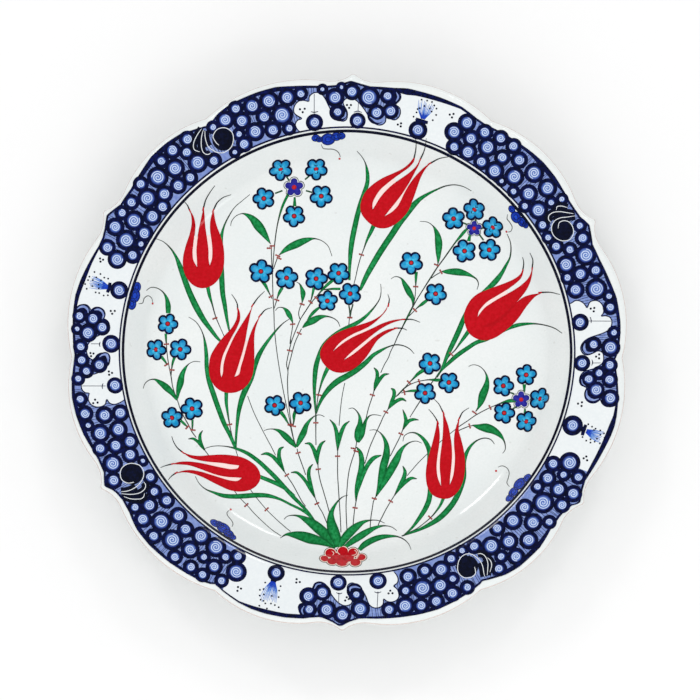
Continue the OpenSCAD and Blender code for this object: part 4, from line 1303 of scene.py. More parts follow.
# Light-blue discs: (degrees, radius, disc radius) and, where it isn't the usual, the radius of
# the navy ring
DISCS = [
    (100.1, 140.8, 2), (95.3, 141.5, 1.1), (92.7, 136.8, 3.1), (92.2, 129, 2.1, 4.3), (91.2, 142, 1),
    (88.9, 139.7, 2.6), (85.1, 137.3, 3.85), (83, 129.6, 2.7, 4.3), (81, 139, 2.2), (79.8, 131.5, 2.6, 4.2),
    (62.5, 138.6, 2.95, 4.7), (64.2, 131.2, 3.05, 5), (62.6, 124.3, 2.25, 4.4), (58, 138.7, 2.6),
    (60, 132.4, 2.7), (59, 125.4, 3), (55.7, 132.9, 3.25), (54.9, 124.8, 2.5), (54.4, 140.8, 2.4),
    (51.1, 141.4, 2.4), (51.5, 133.1, 2.5), (51, 125.2, 3.2), (48.2, 137.8, 2.7), (46.5, 129.5, 3.4),
    (48.1, 123.3, 1.2), (43.8, 138.2, 3.4), (41.2, 128.6, 3.1), (44.1, 123.6, 1.6), (39.3, 138, 3.25),
    (39.5, 122.8, 1.7), (36.7, 127.1, 3.25), (36.3, 134.9, 1.6), (35.4, 140.5, 1.5), (33.1, 124.3, 2.1),
    (28.4, 141, 1.8), (25.7, 139.3, 2.4), (22, 137, 3.75), (18, 139.2, 2.4), (24.7, 130.6, 2.05),
    (21.7, 125.5, 3.25), (18.4, 131, 2.7), (18.6, 123.7, 1.85), (29.8, 123.4, 1.7), (26.8, 124.8, 2.2),
    (15.1, 126, 2.8), (14, 136.6, 3.9), (11.8, 142.2, 1.6),
    (9.3, 141.8, 2.1), (3.8, 142, 1.65), (.6, 140, 3.2), (-3.3, 139.7, 2.25), (-6.5, 140.3, 2.4),
    (-10.5, 142, 2.85), (-5.2, 134.3, 1.9), (-9.1, 133.9, 2.95, 4.3), (-6.8, 129.3, 2.25, 4.2),
    (1.5, 131.1, 2.2, 4), (-29, 140.1, 2.2, 4), (-27, 132.4, 3.6, 5.5), (-29, 124.9, 2.45, 4.3),
    (-30.1, 132.7, 1.8), (-32.7, 142.4, 2.75), (-33.6, 134.5, 2.9), (-32.7, 126.4, 2.7), (-35.8, 124.5, 1.9),
    (-36.1, 140.8, 2.5), (-38.1, 132, 3.95), (-41.7, 126, 2.8), (-40.7, 141.2, 1.95), (-43.1, 134.8, 3.1),
    (-46.6, 139.9, 3.1), (-46, 126.5, 3.2), (-50.05, 133.3, 3.1), (-51, 142.1, 2.8), (-50.1, 124, 2.4),
    (-53.5, 137.2, 1.9), (-53.9, 129.4, 3.4), (-55.5, 141.9, 2.25), (-57.2, 124.4, 2.35), (-60.3, 122.9, 1.6),
    (-63.6, 124.2, 2.15), (-63.4, 141.9, 2.1), (-65.4, 134.2, 1.8), (-66.8, 141.5, 2.7), (-66.9, 127.2, 3),
    (-68.6, 135, 3.1), (-70.6, 142.3, 2.5), (-70.7, 124.6, 2.25), (-72.6, 133.2, 3.8), (-74, 142.1, 2.5),
    (-75, 125, 2.7), (-76.4, 132.1, 2), (-77.3, 140.1, 3.2),
    (-80.85, 140.4, 2.35), (-87.1, 138.4, 3.15), (-91, 141.4, 2.9), (-94.4, 139, 3.1), (-98.2, 140, 2.2),
    (-95.7, 130, 2.75, 4.3), (-98.8, 132.9, 2.7, 4.7), (-87.8, 130.6, 1.8, 4.1), (-118.25, 139.9, 2.05, 3.75),
    (-116.3, 132, 3.5, 5.3), (-117.7, 124.2, 2.15, 4.2), (-120.2, 127.6, 2), (-121.2, 135.4, 2.6),
    (-122.4, 142.4, 2.1), (-124.4, 134, 1.75), (-123.45, 125.9, 3.65), (-125.4, 142.4, 2.25),
    (-127.9, 135, 3.05), (-127.9, 125.6, 3.3), (-129.4, 143.2, 2.3), (-132.3, 137.2, 3.8),
    (-131.75, 128.2, 2.7), (-135.7, 142.7, 2.4), (-135.3, 125.5, 2.8), (-137, 134.4, 3.7), (-140, 140.8, 2.8),
    (-140, 124.7, 2.5), (-141.6, 133.5, 2.8), (-143.1, 140.3, 2), (-143.5, 126.8, 2.15), (-147, 124.2, 2.3),
    (-150.5, 141.9, 2.7), (-151.4, 123.2, 1.2), (-153.9, 138.2, 3.5), (-154.1, 127.7, 2.7),
    (-158, 140.9, 2.45), (-157.4, 132.8, 2.7), (-157.1, 124.9, 2.75), (-161.2, 138.1, 3.2),
    (-160.8, 128.4, 3.1), (-163.6, 143, 1.4), (-166.2, 143, 2.55), (-164.9, 133.2, 2.85),
    (-164.5, 124.7, 2.75), (-169.4, 143.8, 2), (-173.8, 143.4, 1.75), (-175.4, 138.7, 2.05),
    (-177.8, 140.8, 2.15), (-180.8, 141.4, 2.1), (-184.5, 143.7, 1.3), (-183.9, 137.8, 3),
    (-187.3, 143.3, 2.1, 3.6), (-187.2, 136, 2.55, 4.2), (-185.5, 130.7, 2.45, 4.2),
    (-176.7, 131.7, 2.45, 4.3), (-203.5, 139, 2.65, 4.3), (-201.9, 131.8, 3.3, 4.9),
    (-204.3, 125.2, 2.4, 4.4), (-206.9, 131.7, 3.6), (-207.7, 124, 1.5), (-208.3, 140.1, 3),
    (-211.7, 140.8, 2.1), (-211.7, 133.3, 3.5), (-210.5, 125.2, 2.85), (-214.8, 139.8, 2.35),
    (-214.95, 126.5, 3), (-217.7, 134.3, 3.6), (-218.4, 125.3, 2.5), (-219.2, 141.7, 2.3), (-221, 129, 2.75),
    (-222.8, 137.4, 3.8), (-224.8, 126.7, 2.65), (-225.9, 142.2, 2.2), (-227, 134.5, 3.4),
    (-228.2, 125.4, 2.3), (-229.2, 142.4, 2.7), (-231.4, 136.8, 2.3), (-231.9, 129, 3.5),
    (-233.2, 142.1, 2.6), (-235.4, 124.9, 2.35), (-239.3, 140, 1.7), (-240.9, 122.9, 1.3), (-242.4, 140.3, 3),
    (-243.75, 130.4, 1.6), (-243.9, 124.5, 2.5), (-245.5, 143.3, 2.3), (-245.7, 136.1, 2.9),
    (-247.5, 128.1, 3.15), (-249, 141.3, 3.05), (-250.7, 133.8, 2.65), (-251.7, 125.8, 2.65),
    (-252.8, 141, 3.3), (-254.8, 131.9, 3.85), (-255.6, 124.2, 1.9), (-256.9, 140.3, 3.05),
]
# Eyes that stand in the white panels, and the round bodies of the four vases
EYES = [
    (98, 124.7, 2.6, 4.4), (87.4, 124.6, 2.6, 4.1), (7.1, 124.9, 2.6, 4.4), (-3, 125, 2.5, 4.2),
    (-82.4, 124.1, 2.8, 4.4), (-92.1, 124.1, 2.7, 4.2), (-171.45, 124.5, 2.75, 4.2),
    (-181.75, 125.3, 2.95, 4.6), (72.4, 125.2, 2.9, 4.8), (-18.5, 126.2, 3, 5.2), (-107.5, 124.5, 2.5, 4.35),
    (-195.1, 125.5, 2.9, 4.6),
]

# Navy lobes that hang into the white panels: (degrees, radius, lobe radius)
LOBES = [
    (83, 128.2, 4.8), (91.8, 128.4, 4.3), (79.7, 139.2, 4), (.9, 128.6, 4.2), (-7, 128.6, 4.2),
    (-10.3, 132.7, 4.8), (-88.2, 128.5, 4.3), (-96.3, 128.8, 4.5), (-98.9, 140.3, 4), (-177.7, 130, 4.3),
    (-186, 130.4, 3.8), (-188.4, 142, 4), (-188.3, 134, 4.3),
]

# White panels: the lobed side of each, from the ring up to the contour, and where the panel ends
PANELS = [
    ([(101.8, 120.7), (102.6, 123.3), (102.7, 125.5), (102, 127.3), (100.9, 127.8), (101.8, 129.7),
      (102.4, 131.5), (102.3, 133.5), (101.7, 135.8), (100.7, 137.2), (99.6, 137), (98.6, 136.2),
      (98.4, 138.3), (97.5, 140), (96.5, 140.2), (95.5, 138.7), (94.8, 136), (94.3, 133), (93.7, 130),
      (93, 127.5), (92, 125), (91, 124.2), (90.2, 125), (89.9, 127), (90, 129.5), (90.6, 132), (90.9, 134),
      (90.4, 135.8), (89.5, 136.5), (88.5, 136), (87.5, 134.5), (86.5, 132.2), (85.5, 129.5), (84.5, 126.3),
      (83.5, 124.3), (82, 123.3), (81, 124.2), (80.6, 125.5), (80.6, 127.8), (79.5, 127.5), (78.5, 127.3),
      (77.7, 129), (77.5, 131.5), (77.9, 134), (78.9, 135.5), (78.5, 137), (78.1, 139), (78.3, 141),
      (78.9, 142.6)], 63.0),
    ([(12.1, 120.7), (12.3, 122.5), (12.6, 124.5), (12.3, 126.5), (11, 129), (10.3, 129.5), (11.5, 132),
      (11.6, 133.5), (11.3, 136), (10.3, 137.8), (9.2, 138.2), (8.2, 137.4), (7.8, 136.3), (7.7, 138.5),
      (7.2, 140.8), (6.4, 141.5), (5.8, 141.4), (5, 140.6), (4.4, 139), (4, 137), (3.7, 134.5), (3.4, 131.5),
      (3, 128.5), (2.3, 126), (1.5, 124.6), (.7, 124.1), (-.1, 124.6), (-.8, 125.8), (-1, 127.5),
      (-.8, 129.5), (-.4, 131.5), (-.1, 133), (-.2, 134.7), (-.6, 135.8), (-1.5, 136.3), (-2.4, 136.2),
      (-3, 135.5), (-3.6, 133.8), (-4.2, 131.5), (-4.6, 129), (-5, 126.5), (-5.8, 125), (-6.8, 124.4),
      (-7.8, 124.7), (-8.5, 126), (-8.6, 127.5), (-8.9, 128.6), (-9.8, 128.2), (-10.8, 128.4), (-11.6, 129.8),
      (-12, 131.8), (-12, 133.5), (-11.6, 135.3), (-11, 136.7), (-11.4, 137.3), (-12.1, 138.8), (-12.4, 141),
      (-12.2, 143), (-11.6, 145)], -28.0),
    ([(-78.1, 120.7), (-77.6, 123), (-77.5, 125), (-77.9, 127), (-78.9, 128.2), (-78.3, 130), (-78.1, 132.5),
      (-78.3, 134.8), (-79, 136.2), (-80, 136.6), (-81, 135.9), (-81.75, 134.3), (-81.8, 135.5), (-82, 137),
      (-82.6, 138.3), (-83.4, 138.7), (-84.2, 138.3), (-84.9, 137), (-85.3, 135), (-85.5, 133),
      (-85.9, 130.5), (-86.5, 128), (-87.2, 126), (-88, 124.7), (-88.8, 124.1), (-89.5, 124.7), (-89.9, 126),
      (-89.9, 127.5), (-89.6, 129), (-89.2, 131), (-88.9, 132.5), (-88.8, 134), (-89, 135.3), (-89.7, 136.3),
      (-90.5, 136.5), (-91.2, 136), (-92, 134.8), (-92.8, 133), (-93.5, 131), (-94.2, 128.5), (-94.8, 126.5),
      (-95.5, 125), (-96.4, 124.4), (-97.3, 124.8), (-97.9, 126), (-98, 127.5), (-98.2, 129), (-99, 129),
      (-99.8, 129.3), (-100.5, 130.5), (-100.8, 132.5), (-100.5, 134.5), (-99.9, 136), (-99.8, 137),
      (-100.4, 138), (-100.6, 139.5), (-100.4, 141), (-100, 142.3), (-99.6, 143.5)], -118.0),
    ([(-167.6, 120.7), (-167, 124), (-166.9, 127), (-167.4, 129), (-168.4, 130.1), (-167.3, 131.5),
      (-167, 133.5), (-167.2, 136.8), (-167.9, 138.8), (-169, 139.7), (-169.9, 139.2), (-170.4, 138.6),
      (-170.6, 140.3), (-171.1, 141.7), (-171.8, 142.3), (-172.6, 142), (-173.4, 140.9), (-174.1, 138.8),
      (-174.5, 136), (-174.8, 133), (-175.4, 130.5), (-176.2, 128.3), (-177.2, 126.6), (-178.3, 125.9),
      (-179.2, 126.6), (-179.6, 128.2), (-179.4, 130), (-178.9, 131.3), (-178.3, 132.2), (-177.9, 133.7),
      (-177.9, 135.4), (-178.4, 137), (-179.2, 138), (-180.2, 138.3), (-181.2, 137.7), (-182.1, 136.3),
      (-183, 134), (-183.7, 131.5), (-184.4, 129), (-185.2, 127.3), (-186, 127), (-186.7, 127.9),
      (-187, 129.5), (-187.5, 130.7), (-188.5, 130), (-189.4, 130.8), (-189.9, 132.5), (-189.9, 134.5),
      (-189.5, 136.2), (-189, 137.5), (-189.5, 138.6), (-190, 140.5), (-189.9, 142.5), (-189.5, 144.3),
      (-189, 145.7)], -203.0),
]
# Thin lines and short crossbars over the eyes
PANEL_LINES = [
    [(97.2, 139.5), (97.8, 129)], [(98.5, 130.6), (97.7, 130), (96.8, 130.2)], [(87.4, 134), (87.4, 129.5)],
    [(88.4, 129), (87.4, 129.6), (86.5, 129)], [(6.35, 141), (7.1, 129.5)], [(8, 130.4), (7.2, 130.8),
                                                                             (6.5, 130.5)],
    [(-2.85, 134.8), (-2.9, 130.2)], [(-2.1, 130.1), (-2.8, 130.6), (-3.5, 130.1)], [(-83.4, 138.5),
                                                                                     (-82.75, 129.8)],
    [(-82, 130.2), (-82.8, 130.6), (-83.6, 129.8)], [(-91.85, 134.5), (-91.9, 129.5)],
    [(-91.1, 129.6), (-91.8, 130.1), (-92.5, 129.5)], [(-172.2, 141.8), (-171.6, 129.5)],
    [(-171, 131.3), (-171.7, 131.3), (-172.3, 130.6)], [(-181.5, 136), (-181.6, 131)],
    [(-180.9, 131.1), (-181.5, 131.6), (-182.1, 131.1)],
]
PANEL_DOTS = [
    (100.9, 132.8), (99.8, 132.6), (100.4, 131), (90, 132.7), (89.1, 132.7), (89.5, 131.2), (77.5, 125.3),
    (76.8, 126.3), (76.7, 124.7), (66.7, 138.6), (66, 139.7), (66, 137.7), (9.9, 133.4), (9.15, 132.8),
    (9.9, 131.5), (-.9, 133.9), (-1.8, 133.9), (-1.4, 132.3), (-12.5, 127.7), (-13.4, 127.9), (-13, 125.8),
    (-24.2, 139), (-24.9, 140.2), (-24.8, 138.1), (-79.5, 132), (-80.4, 131.7), (-79.9, 130.4),
    (-89.6, 132.9), (-90.4, 133.7), (-90.05, 131.9), (-101.4, 126.2), (-102.2, 126.8), (-102.3, 125),
    (-113.7, 139.2), (-114.45, 139.1), (-114.2, 141.1), (-168.1, 137.5), (-168.8, 136.2), (-168.05, 135.2),
    (-174.2, 126.9), (-175, 126.9), (-174.6, 125.3), (-178.7, 135.9), (-179.4, 136.2), (-179.3, 134.6),
    (-189.1, 126.4), (-189.7, 127.4), (-189.9, 125.3), (-200, 139.5), (-200.6, 140.3), (-200.6, 138.6),
]
# Strokes of the crescents: (degrees, radius, width)
CRESCENTS = [
    [(91.3, 125.6, .3), (90.5, 126.6, 1), (90.3, 129, .4)],
    [(84.5, 127, .3), (82.5, 125.2, 1.5), (81.3, 126.5, 1.5), (81, 128.5, .4)],
    [(79.3, 141.8, .3), (78.7, 139.5, 1), (79, 137, .3)],
    [(1.8, 126.5, .3), (.8, 126, 1.2), (-.3, 127, 1.2), (-.5, 129, .8), (-.3, 130.8, .3)],
    [(-9.5, 129, .3), (-10.5, 129.3, 1), (-11.3, 131, 1.4), (-11.5, 133.5, 1), (-11, 136, .3)],
    [(-7, 125.5, .3), (-8, 126.3, .6), (-8.5, 128, .3)],
    [(-86.8, 127.2, .3), (-88.2, 126.3, 1.1), (-89.2, 127, 1), (-89.3, 128.8, .3)],
    [(-96.2, 125.3, .3), (-97.2, 126, .8), (-97.7, 128.5, .3)],
    [(-99.2, 143.5, .3), (-99.7, 141, .9), (-99.4, 138.5, .3)],
    [(-177.3, 127, .3), (-178.3, 127, 1.2), (-179.1, 128, 1.2), (-179, 130, .8), (-178.5, 131.5, .3)],
    [(-188.7, 145, .3), (-189.3, 143.5, 1), (-189.5, 141.5, 1.2), (-189, 139.5, 1), (-188.3, 138.9, .3)],
    [(-189.2, 136, .3), (-189.5, 134, 1), (-189.2, 132, 1), (-188.3, 130.8, .8), (-187.5, 131.2, .3)],
]
# Blue sprays over the vases: where each starts, its lean and spread in degrees, its height in mm
# and the dots round it
VASES = [
    {"foot": (72.1, 131.5), "lean": 0.2, "height": 9.5, "spread": 1.9, "dots": [
        (73.6, 141.1), (72.4, 141.4), (71.3, 141.5), (70.6, 140.2), (69.9, 139), (69.5, 135.8), (69.8, 132.6),
        (72.6, 138.3), (71.3, 138), (70.7, 136.7), (73.5, 136.5), (73.9, 135.7), (73.9, 133.9),
        (74.3, 131.3)]},
    {"foot": (-18.8, 134), "lean": -0.4, "height": 9.5, "spread": 1.3, "dots": [
        (-18.2, 143.3), (-17.8, 141), (-17.7, 138.3), (-17.5, 136.2), (-17.2, 133.9), (-18.7, 141.7),
        (-18.1, 137.7), (-20.5, 143), (-20.5, 140.1), (-21, 138.2), (-20.3, 137.6), (-20.9, 135.7),
        (-20.4, 133.2), (-19.7, 140.7), (-19, 144.3)]},
    {"foot": (-107.5, 129), "lean": 0.2, "height": 13, "spread": 1.9, "dots": [
        (-104.7, 142.1), (-105.6, 141.5), (-106.5, 141.3), (-107.65, 142.1), (-108.2, 141.1), (-108.85, 141),
        (-109.35, 139), (-109.75, 136.1), (-109.05, 135), (-109.2, 131.4), (-105.3, 136.8), (-105.6, 133.3),
        (-105.55, 130.8), (-107, 144.5), (-108.7, 144.3), (-108.6, 137.7), (-106.8, 137.2)]},
    {"foot": (-195, 131.5), "lean": -0.2, "height": 10.5, "spread": 1.4, "dots": [
        (-193.4, 142.2), (-194.3, 143.6), (-195.3, 142.7), (-196.1, 142.5), (-197.4, 140.7), (-197.4, 137.4),
        (-196.4, 138.9), (-194.3, 139.7), (-195.6, 140.3), (-193.15, 137.2), (-193.2, 135.3), (-192.9, 132.7),
        (-193.2, 130.6), (-196.9, 134.9), (-196.95, 132.8), (-195, 136.7), (-194.2, 136.1), (-196.1, 136.1)]},
]
# (degrees, radius, half the neck's width in degrees)
VASE_NECKS = [(72.2, 130.5, 1.5), (-18.75, 132.8, 1.3), (-107.5, 129, .7), (-195, 131.2, 1.2)]

# Black curls: the disc behind each, then its white lines
CURLS = [
    ((29.6, 131.8, 5.9), [
        [(30.8, 141.3), (31.5, 137.5), (32.2, 134), (32.3, 130.5), (31.5, 127.8), (30, 126.4), (28.5, 127),
         (27.2, 129.5), (26.8, 133), (27.6, 136), (29, 137.3), (30.3, 137), (31.2, 135), (31.4, 132.5),
         (30.4, 130.3)],
        [(31.4, 141.2), (32.4, 138.5), (33.5, 135.5), (34.2, 132), (34.1, 129.8), (33.4, 128.6),
         (32.6, 128.8)],
        [(33.2, 140.3), (34.3, 138), (34.7, 136), (34.2, 134.8)]]),
    ((-61.2, 131.8, 5.9), [
        [(-59, 141.2), (-58.7, 139.1), (-58.25, 136.6), (-58, 133.7), (-58.1, 131.2), (-58.4, 128.9),
         (-59.06, 126.8), (-59.9, 125.75), (-61.05, 125.7), (-62.1, 126.8), (-62.95, 128.9), (-63.5, 131.2),
         (-63.6, 133.25), (-63.4, 134.9), (-62.95, 136.6), (-62.2, 137.6), (-61.2, 138.1), (-60.4, 137.4),
         (-60, 135.75), (-59.8, 134.1)],
        [(-58.4, 141.4), (-57.5, 138.5), (-56.8, 136), (-56.5, 133.7), (-56.5, 131.2), (-57, 129.5),
         (-57.6, 128.9)],
        [(-57.55, 140.8), (-56.2, 137.4), (-56, 135.3), (-56.2, 133.5)]]),
    ((-149.9, 131.7, 5.9), [
        [(-147.6, 141.6), (-147.1, 139.1), (-146.8, 136.2), (-146.8, 133.5), (-147.1, 130.4), (-147.7, 127.9),
         (-148.7, 126), (-149.7, 125.4), (-150.7, 125.8), (-151.6, 127.5), (-152.2, 129.5), (-152.4, 132),
         (-152.2, 134.5), (-151.6, 136.4), (-150.8, 137.5), (-149.8, 137.9), (-149, 137.2), (-148.4, 135.8),
         (-148.1, 134.1), (-148, 133)],
        [(-147.2, 142), (-146.4, 139.5), (-145.65, 136.6), (-145.2, 133.7), (-145.2, 131.2), (-145.6, 129.3),
         (-146.2, 128.5), (-146.8, 128.6)],
        [(-146.4, 141.8), (-145.2, 139.5), (-144.3, 136.6), (-143.85, 134.5), (-144, 132.9),
         (-144.5, 131.8)]]),
    ((-239.9, 131.7, 5.9), [
        [(-237.4, 140.6), (-236.8, 138.3), (-236.3, 135.3), (-236.1, 132.9), (-236.5, 129.9), (-237.2, 127.4),
         (-238.3, 125.8), (-239.6, 125.6), (-240.7, 126.2), (-241.6, 127.9), (-242.2, 129.9), (-242.5, 132.4),
         (-242.2, 134.9), (-241.6, 136.6), (-240.8, 137.6), (-239.9, 137.9), (-239, 137.2), (-238.2, 135.6),
         (-238.1, 133.3), (-238.2, 131.4), (-238.4, 130.3)],
        [(-237.2, 141.4), (-236.3, 139.5), (-235.3, 136.6), (-234.6, 133.7), (-234.4, 131.6), (-234.7, 129.9),
         (-235.4, 129.1), (-235.8, 129.3)],
        [(-237, 142.5), (-235.9, 141.4), (-234.8, 140.1), (-233.9, 138.7), (-233.2, 136.6), (-233.1, 135.3),
         (-233.4, 134.1), (-233.8, 133)]]),
]


def ring_radius(angle):
    degrees, radii = zip(*RING)
    return np.interp(angle, degrees, radii, period=360)


def contour_edges(angles):
    """Outer and inner radius of the contour line at these degrees."""
    degrees, outer, thickness = (np.array(column) for column in zip(*CONTOUR))
    outer_r = np.interp(angles, degrees, outer, period=360)
    return outer_r, outer_r - CONTOUR_SPREAD * np.interp(angles, degrees, thickness, period=360)


def band(coat, angles, inner, outer, lift, rows=3):
    """A closed strip round the plate, between two radii at each direction."""
    shares = np.linspace(0, 1, rows)
    radii = inner[:, None] + (outer - inner)[:, None] * shares
    directions = np.radians(angles)[:, None]
    xy = np.stack([radii * np.cos(directions), radii * np.sin(directions)], axis=2).reshape(-1, 2)
    edge = np.tile(np.abs(2 * shares - 1), len(angles))
    coat.add(xy, lift, edge, 1.0, grid_faces(len(angles), rows))


def ring_lines():
    """The black ring round the well, the pale gap and the navy line outside it."""
    angles = np.linspace(-180, 180, 361)
    middle = ring_radius(angles)
    black, navy = Coat(), Coat()
    band(black, angles, middle - 0.7, middle + 0.65, BLACK_RING_LIFT)
    middle += RING_NAVY_GAP
    band(navy, angles, middle - 0.42, middle + 0.42, NAVY_RING_LIFT)
    make_piece("ring_black", black, CURL_BLACK)
    make_piece("ring_navy", navy, NAVY_PAINT)


def border_ground():
    """The watery blue ground, its fine hatching and the wavy contour line."""
    angles = np.linspace(-180, 180, 721)
    outer, inner = contour_edges(angles)
    ground, line = Coat(), Coat()
    band(ground, angles, ring_radius(angles) + RING_NAVY_GAP, (outer + inner) / 2, GROUND_LIFT, GROUND_ROWS)
    band(line, angles, inner, outer, CONTOUR_LIFT)
    hatching = Coat()
    for angle in np.arange(-180, 180, HATCH_PITCH):
        lean = random.uniform(-0.3, 0.3)
        top = np.interp(angle, angles, inner)
        ends = plan([(angle, HATCH_START, 0.3), (angle + lean, top, 0.25)])
        brush(hatching, ends, HATCH_LIFT, step=4)
    make_piece("border_hatching", hatching, NAVY_PAINT)
    make_piece("border_ground", ground, PERIWINKLE_PAINT)
    make_piece("border_contour", line, NAVY_PAINT)


def spiral(coat, x, y, radius, lift):
    """A loose spiral line inside a disc."""
    share = np.linspace(0, 1, max(14, int(9 * radius)))
    turns = 1.3 + 0.35 * radius
    start = random.uniform(0, 2 * math.pi)
    xy = around((x, y), radius * (0.08 + 0.8 * share), start + 2 * math.pi * turns * share)
    width = 0.42 + 0.2 * np.sin(np.pi * share)
    brush(coat, np.column_stack([xy, width]), lift)


def border_discs():
    """Light discs in navy rings, each with a pale spiral."""
    navy, light, lines = Coat(), Coat(), Coat()
    for angle, r, radius, *ring in DISCS + EYES:
        (x, y), = plan([(angle, r)])
        on_panel = (angle, r, radius, *ring) in EYES
        lift = EYE_RING_LIFT if on_panel else DISC_RING_LIFT + random.uniform(0, DISC_RING_STEP)
        star(navy, (x, y), RING_SPREAD * ring[0] if ring else radius + NAVY_WIDTH, lift)
        star(light, (x, y), radius * DISC_SPREAD, DISC_LIFT)
        spiral(lines, x, y, radius, SPIRAL_LIFT)
    for angle, r, radius in LOBES:
        star(navy, plan([(angle, r)])[0], radius, LOBE_LIFT)
    make_piece("disc_rings", navy, NAVY_PAINT)
    make_piece("discs", light, DISC_PAINT)
    make_piece("disc_spirals", lines, PALE_LINE)


def white_panels():
    """Reserved white panels with a lobed side outlined in navy."""
    edges = Coat()
    for number, (side, end) in enumerate(PANELS, 1):
        white = Coat()
        lobes = smooth_line(plan(side), 1.0)
        top_angles = np.arange(side[-1][0] - 0.5, end - 0.1, -1.0)
        top = plan(np.column_stack([top_angles, contour_edges(top_angles)[1] + 0.3]))
        low_angles = np.arange(end, side[0][0], 1.0)
        low = plan(np.column_stack([low_angles, ring_radius(low_angles) + RING_NAVY_GAP - 0.3]))
        patch(white, np.vstack([lobes, top, low]), PANEL_LIFT, 1.5)
        make_piece(f"panel_{number}", white, PANEL_WHITE)
        even_strokes(edges, [plan(side)], 0.6, PANEL_EDGE_LIFT)
    make_piece("panel_edges", edges, NAVY_PAINT)


def panel_marks():
    """Thin lines, crossbars and groups of three dots in the panels."""
    lines, dots = Coat(), Coat()
    even_strokes(lines, [plan(line) for line in PANEL_LINES], 0.55, PANEL_LINE_LIFT)
    for x, y in plan(PANEL_DOTS):
        star(dots, (x, y), 0.62, PANEL_LINE_LIFT, steps=10)
    for vase in VASES:
        for x, y in plan(vase["dots"]):
            star(dots, (x, y), 0.5, DISC_LIFT, steps=10)
    make_piece("panel_lines", lines, NAVY_PAINT)
    make_piece("panel_dots", dots, CURL_BLACK)


def crescents():
    """Light crescents on the dark lobes."""
    light = Coat()
    for line in CRESCENTS:
        brush(light, plan(line), CRESCENT_LIFT)
    make_piece("lobe_crescents", light, PERIWINKLE_PAINT)


def vase_sprays():
    """The neck of each vase and the fan of thin blue strokes that rises from it."""
    necks, fans, cores = Coat(), Coat(), Coat()
    for angle, r, half in VASE_NECKS:
        neck = [(angle - half, r, 1.6), (angle, r - 0.3, 2.2), (angle + half, r, 1.6)]
        brush(necks, plan(neck), CRESCENT_LIFT)
    for vase in VASES:
        angle, r = vase["foot"]
        for side in np.linspace(-1, 1, 13):
            height = vase["height"] * random.uniform(0.78, 1)
            lean = vase["lean"] + side * vase["spread"] + random.uniform(-0.1, 0.1)
            foot = (angle + 0.35 * side, r, .5)
            top = (angle + 0.95 * lean, r + height, .2)
            middle = (angle + 0.75 * lean, r + height / 2, .42)
            core = (angle + 0.6 * lean, r + height * 0.38, .2)
            brush(fans, plan([foot, middle, top]), SPRAY_LIFT + SPRAY_STEP * side)
            brush(cores, plan([foot, core]), SPRAY_FOOT_LIFT + SPRAY_STEP * side)
    make_piece("vase_necks", necks, NAVY_PAINT)
    make_piece("vase_sprays", fans, SPRAY_BLUE)
    make_piece("vase_spray_feet", cores, COBALT_PAINT)


def curls():
    """Four black curls drawn over the discs, with white lines."""
    black, lines = Coat(), Coat()
    for (angle, r, radius), strokes in CURLS:
        (x, y), = plan([(angle, r)])
        star(black, (x, y), radius, CURL_DISC_LIFT)
        brush(black, [(x, y, 4.5) for x, y in plan(strokes[0][:4])], CURL_START_LIFT)
        for stroke in strokes[1:]:
            brush(black, [(x, y, 4) for x, y in plan(stroke)], CURL_ARM_LIFT)
        even_strokes(lines, [plan(stroke) for stroke in strokes], 0.38, CURL_LINE_LIFT)
    make_piece("curls", black, CURL_BLACK)
    make_piece("curl_lines", lines, PANEL_WHITE)


ring_lines()
border_ground()
border_discs()
white_panels()
panel_marks()
crescents()
vase_sprays()
curls()


# ---------------------------------------------------------------- floor, lights and camera

# Strength of the world for what it lights and in reflections
WORLD_LIGHT = 0.92
WORLD_GLARE = 0.12

FLOOR_SIZE = 6.0
VIEW_TILT = math.radians(81)
VIEW_DISTANCE = 4.0
AIM = Vector((0.0016, 0.00058, 0.0305))
LENS = 387.3


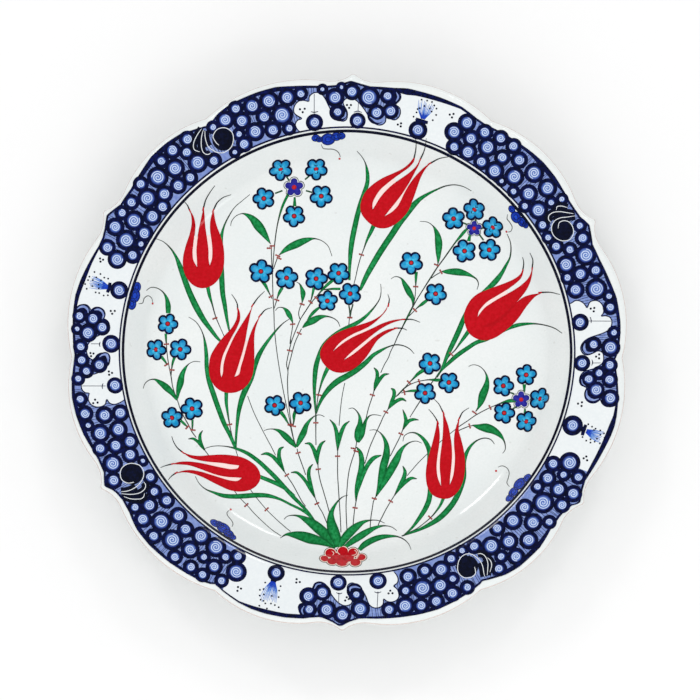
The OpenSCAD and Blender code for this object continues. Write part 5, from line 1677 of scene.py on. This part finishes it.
def build_floor():
    """A plain pale floor under the foot."""
    half = FLOOR_SIZE / 2
    mesh = bpy.data.meshes.new("floor")
    corners_at = [(-half, -half, 0), (half, -half, 0), (half, half, 0), (-half, half, 0)]
    mesh.from_pydata(corners_at, [], [(0, 1, 2, 3)])
    material = bpy.data.materials.new("pale_floor")
    material.use_nodes = True
    shader = material.node_tree.nodes["Principled BSDF"]
    shader.inputs["Base Color"].default_value = (0.9, 0.9, 0.9, 1)
    shader.inputs["Roughness"].default_value = 0.9
    mesh.materials.append(material)
    floor = bpy.data.objects.new("floor", mesh)
    bpy.context.scene.collection.objects.link(floor)
    return floor


def softbox(name, place, size, power):
    """A square area light that faces the plate."""
    light = bpy.data.lights.new(name, "AREA")
    light.size = size
    light.energy = power
    box = bpy.data.objects.new(name, light)
    box.location = place
    box.rotation_euler = (Vector((0, 0, 0.02)) - Vector(place)).to_track_quat("-Z", "Y").to_euler()
    bpy.context.scene.collection.objects.link(box)
    return box


def front_fill():
    """A broad fill from the front, which evens out the far side and leaves no glare in the glaze."""
    fill = softbox("fill_front", (0, -2.1, 1.5), 1.6, 14)
    fill.visible_glossy = False
    return fill


def place_camera():
    """A long lens, nearly straight above the plate."""
    lens = bpy.data.cameras.new("camera")
    lens.lens = LENS
    lens.sensor_width = 36
    lens.clip_end = 20
    camera = bpy.data.objects.new("camera", lens)
    back = Vector((0, -math.cos(VIEW_TILT), math.sin(VIEW_TILT)))
    camera.location = AIM + VIEW_DISTANCE * back
    camera.rotation_euler = back.to_track_quat("Z", "Y").to_euler()
    bpy.context.scene.collection.objects.link(camera)
    bpy.context.scene.camera = camera
    return camera


def soft_world():
    """Even white light from all round, held back in reflections so that the glaze keeps its depth."""
    world = bpy.data.worlds.new("soft_studio")
    world.use_nodes = True
    tree = world.node_tree
    light_path = tree.nodes.new("ShaderNodeLightPath")
    background = tree.nodes["Background"]
    background.inputs["Color"].default_value = (1, 1, 1, 1)
    strength = remap(tree, light_path.outputs["Is Glossy Ray"], 0.0, 1.0, WORLD_LIGHT, WORLD_GLARE)
    plug(tree, strength, background.inputs["Strength"])
    bpy.context.scene.world = world


soft_world()
bpy.context.scene.view_settings.view_transform = "Standard"
build_floor()
softbox("softbox_left", (-1.1, 1.6, 1.7), 0.45, 5)
softbox("softbox_right", (0.75, 1.8, 1.8), 0.4, 4)
softbox("softbox_low", (1.5, -1.2, 1.7), 0.5, 2)
front_fill()
place_camera()
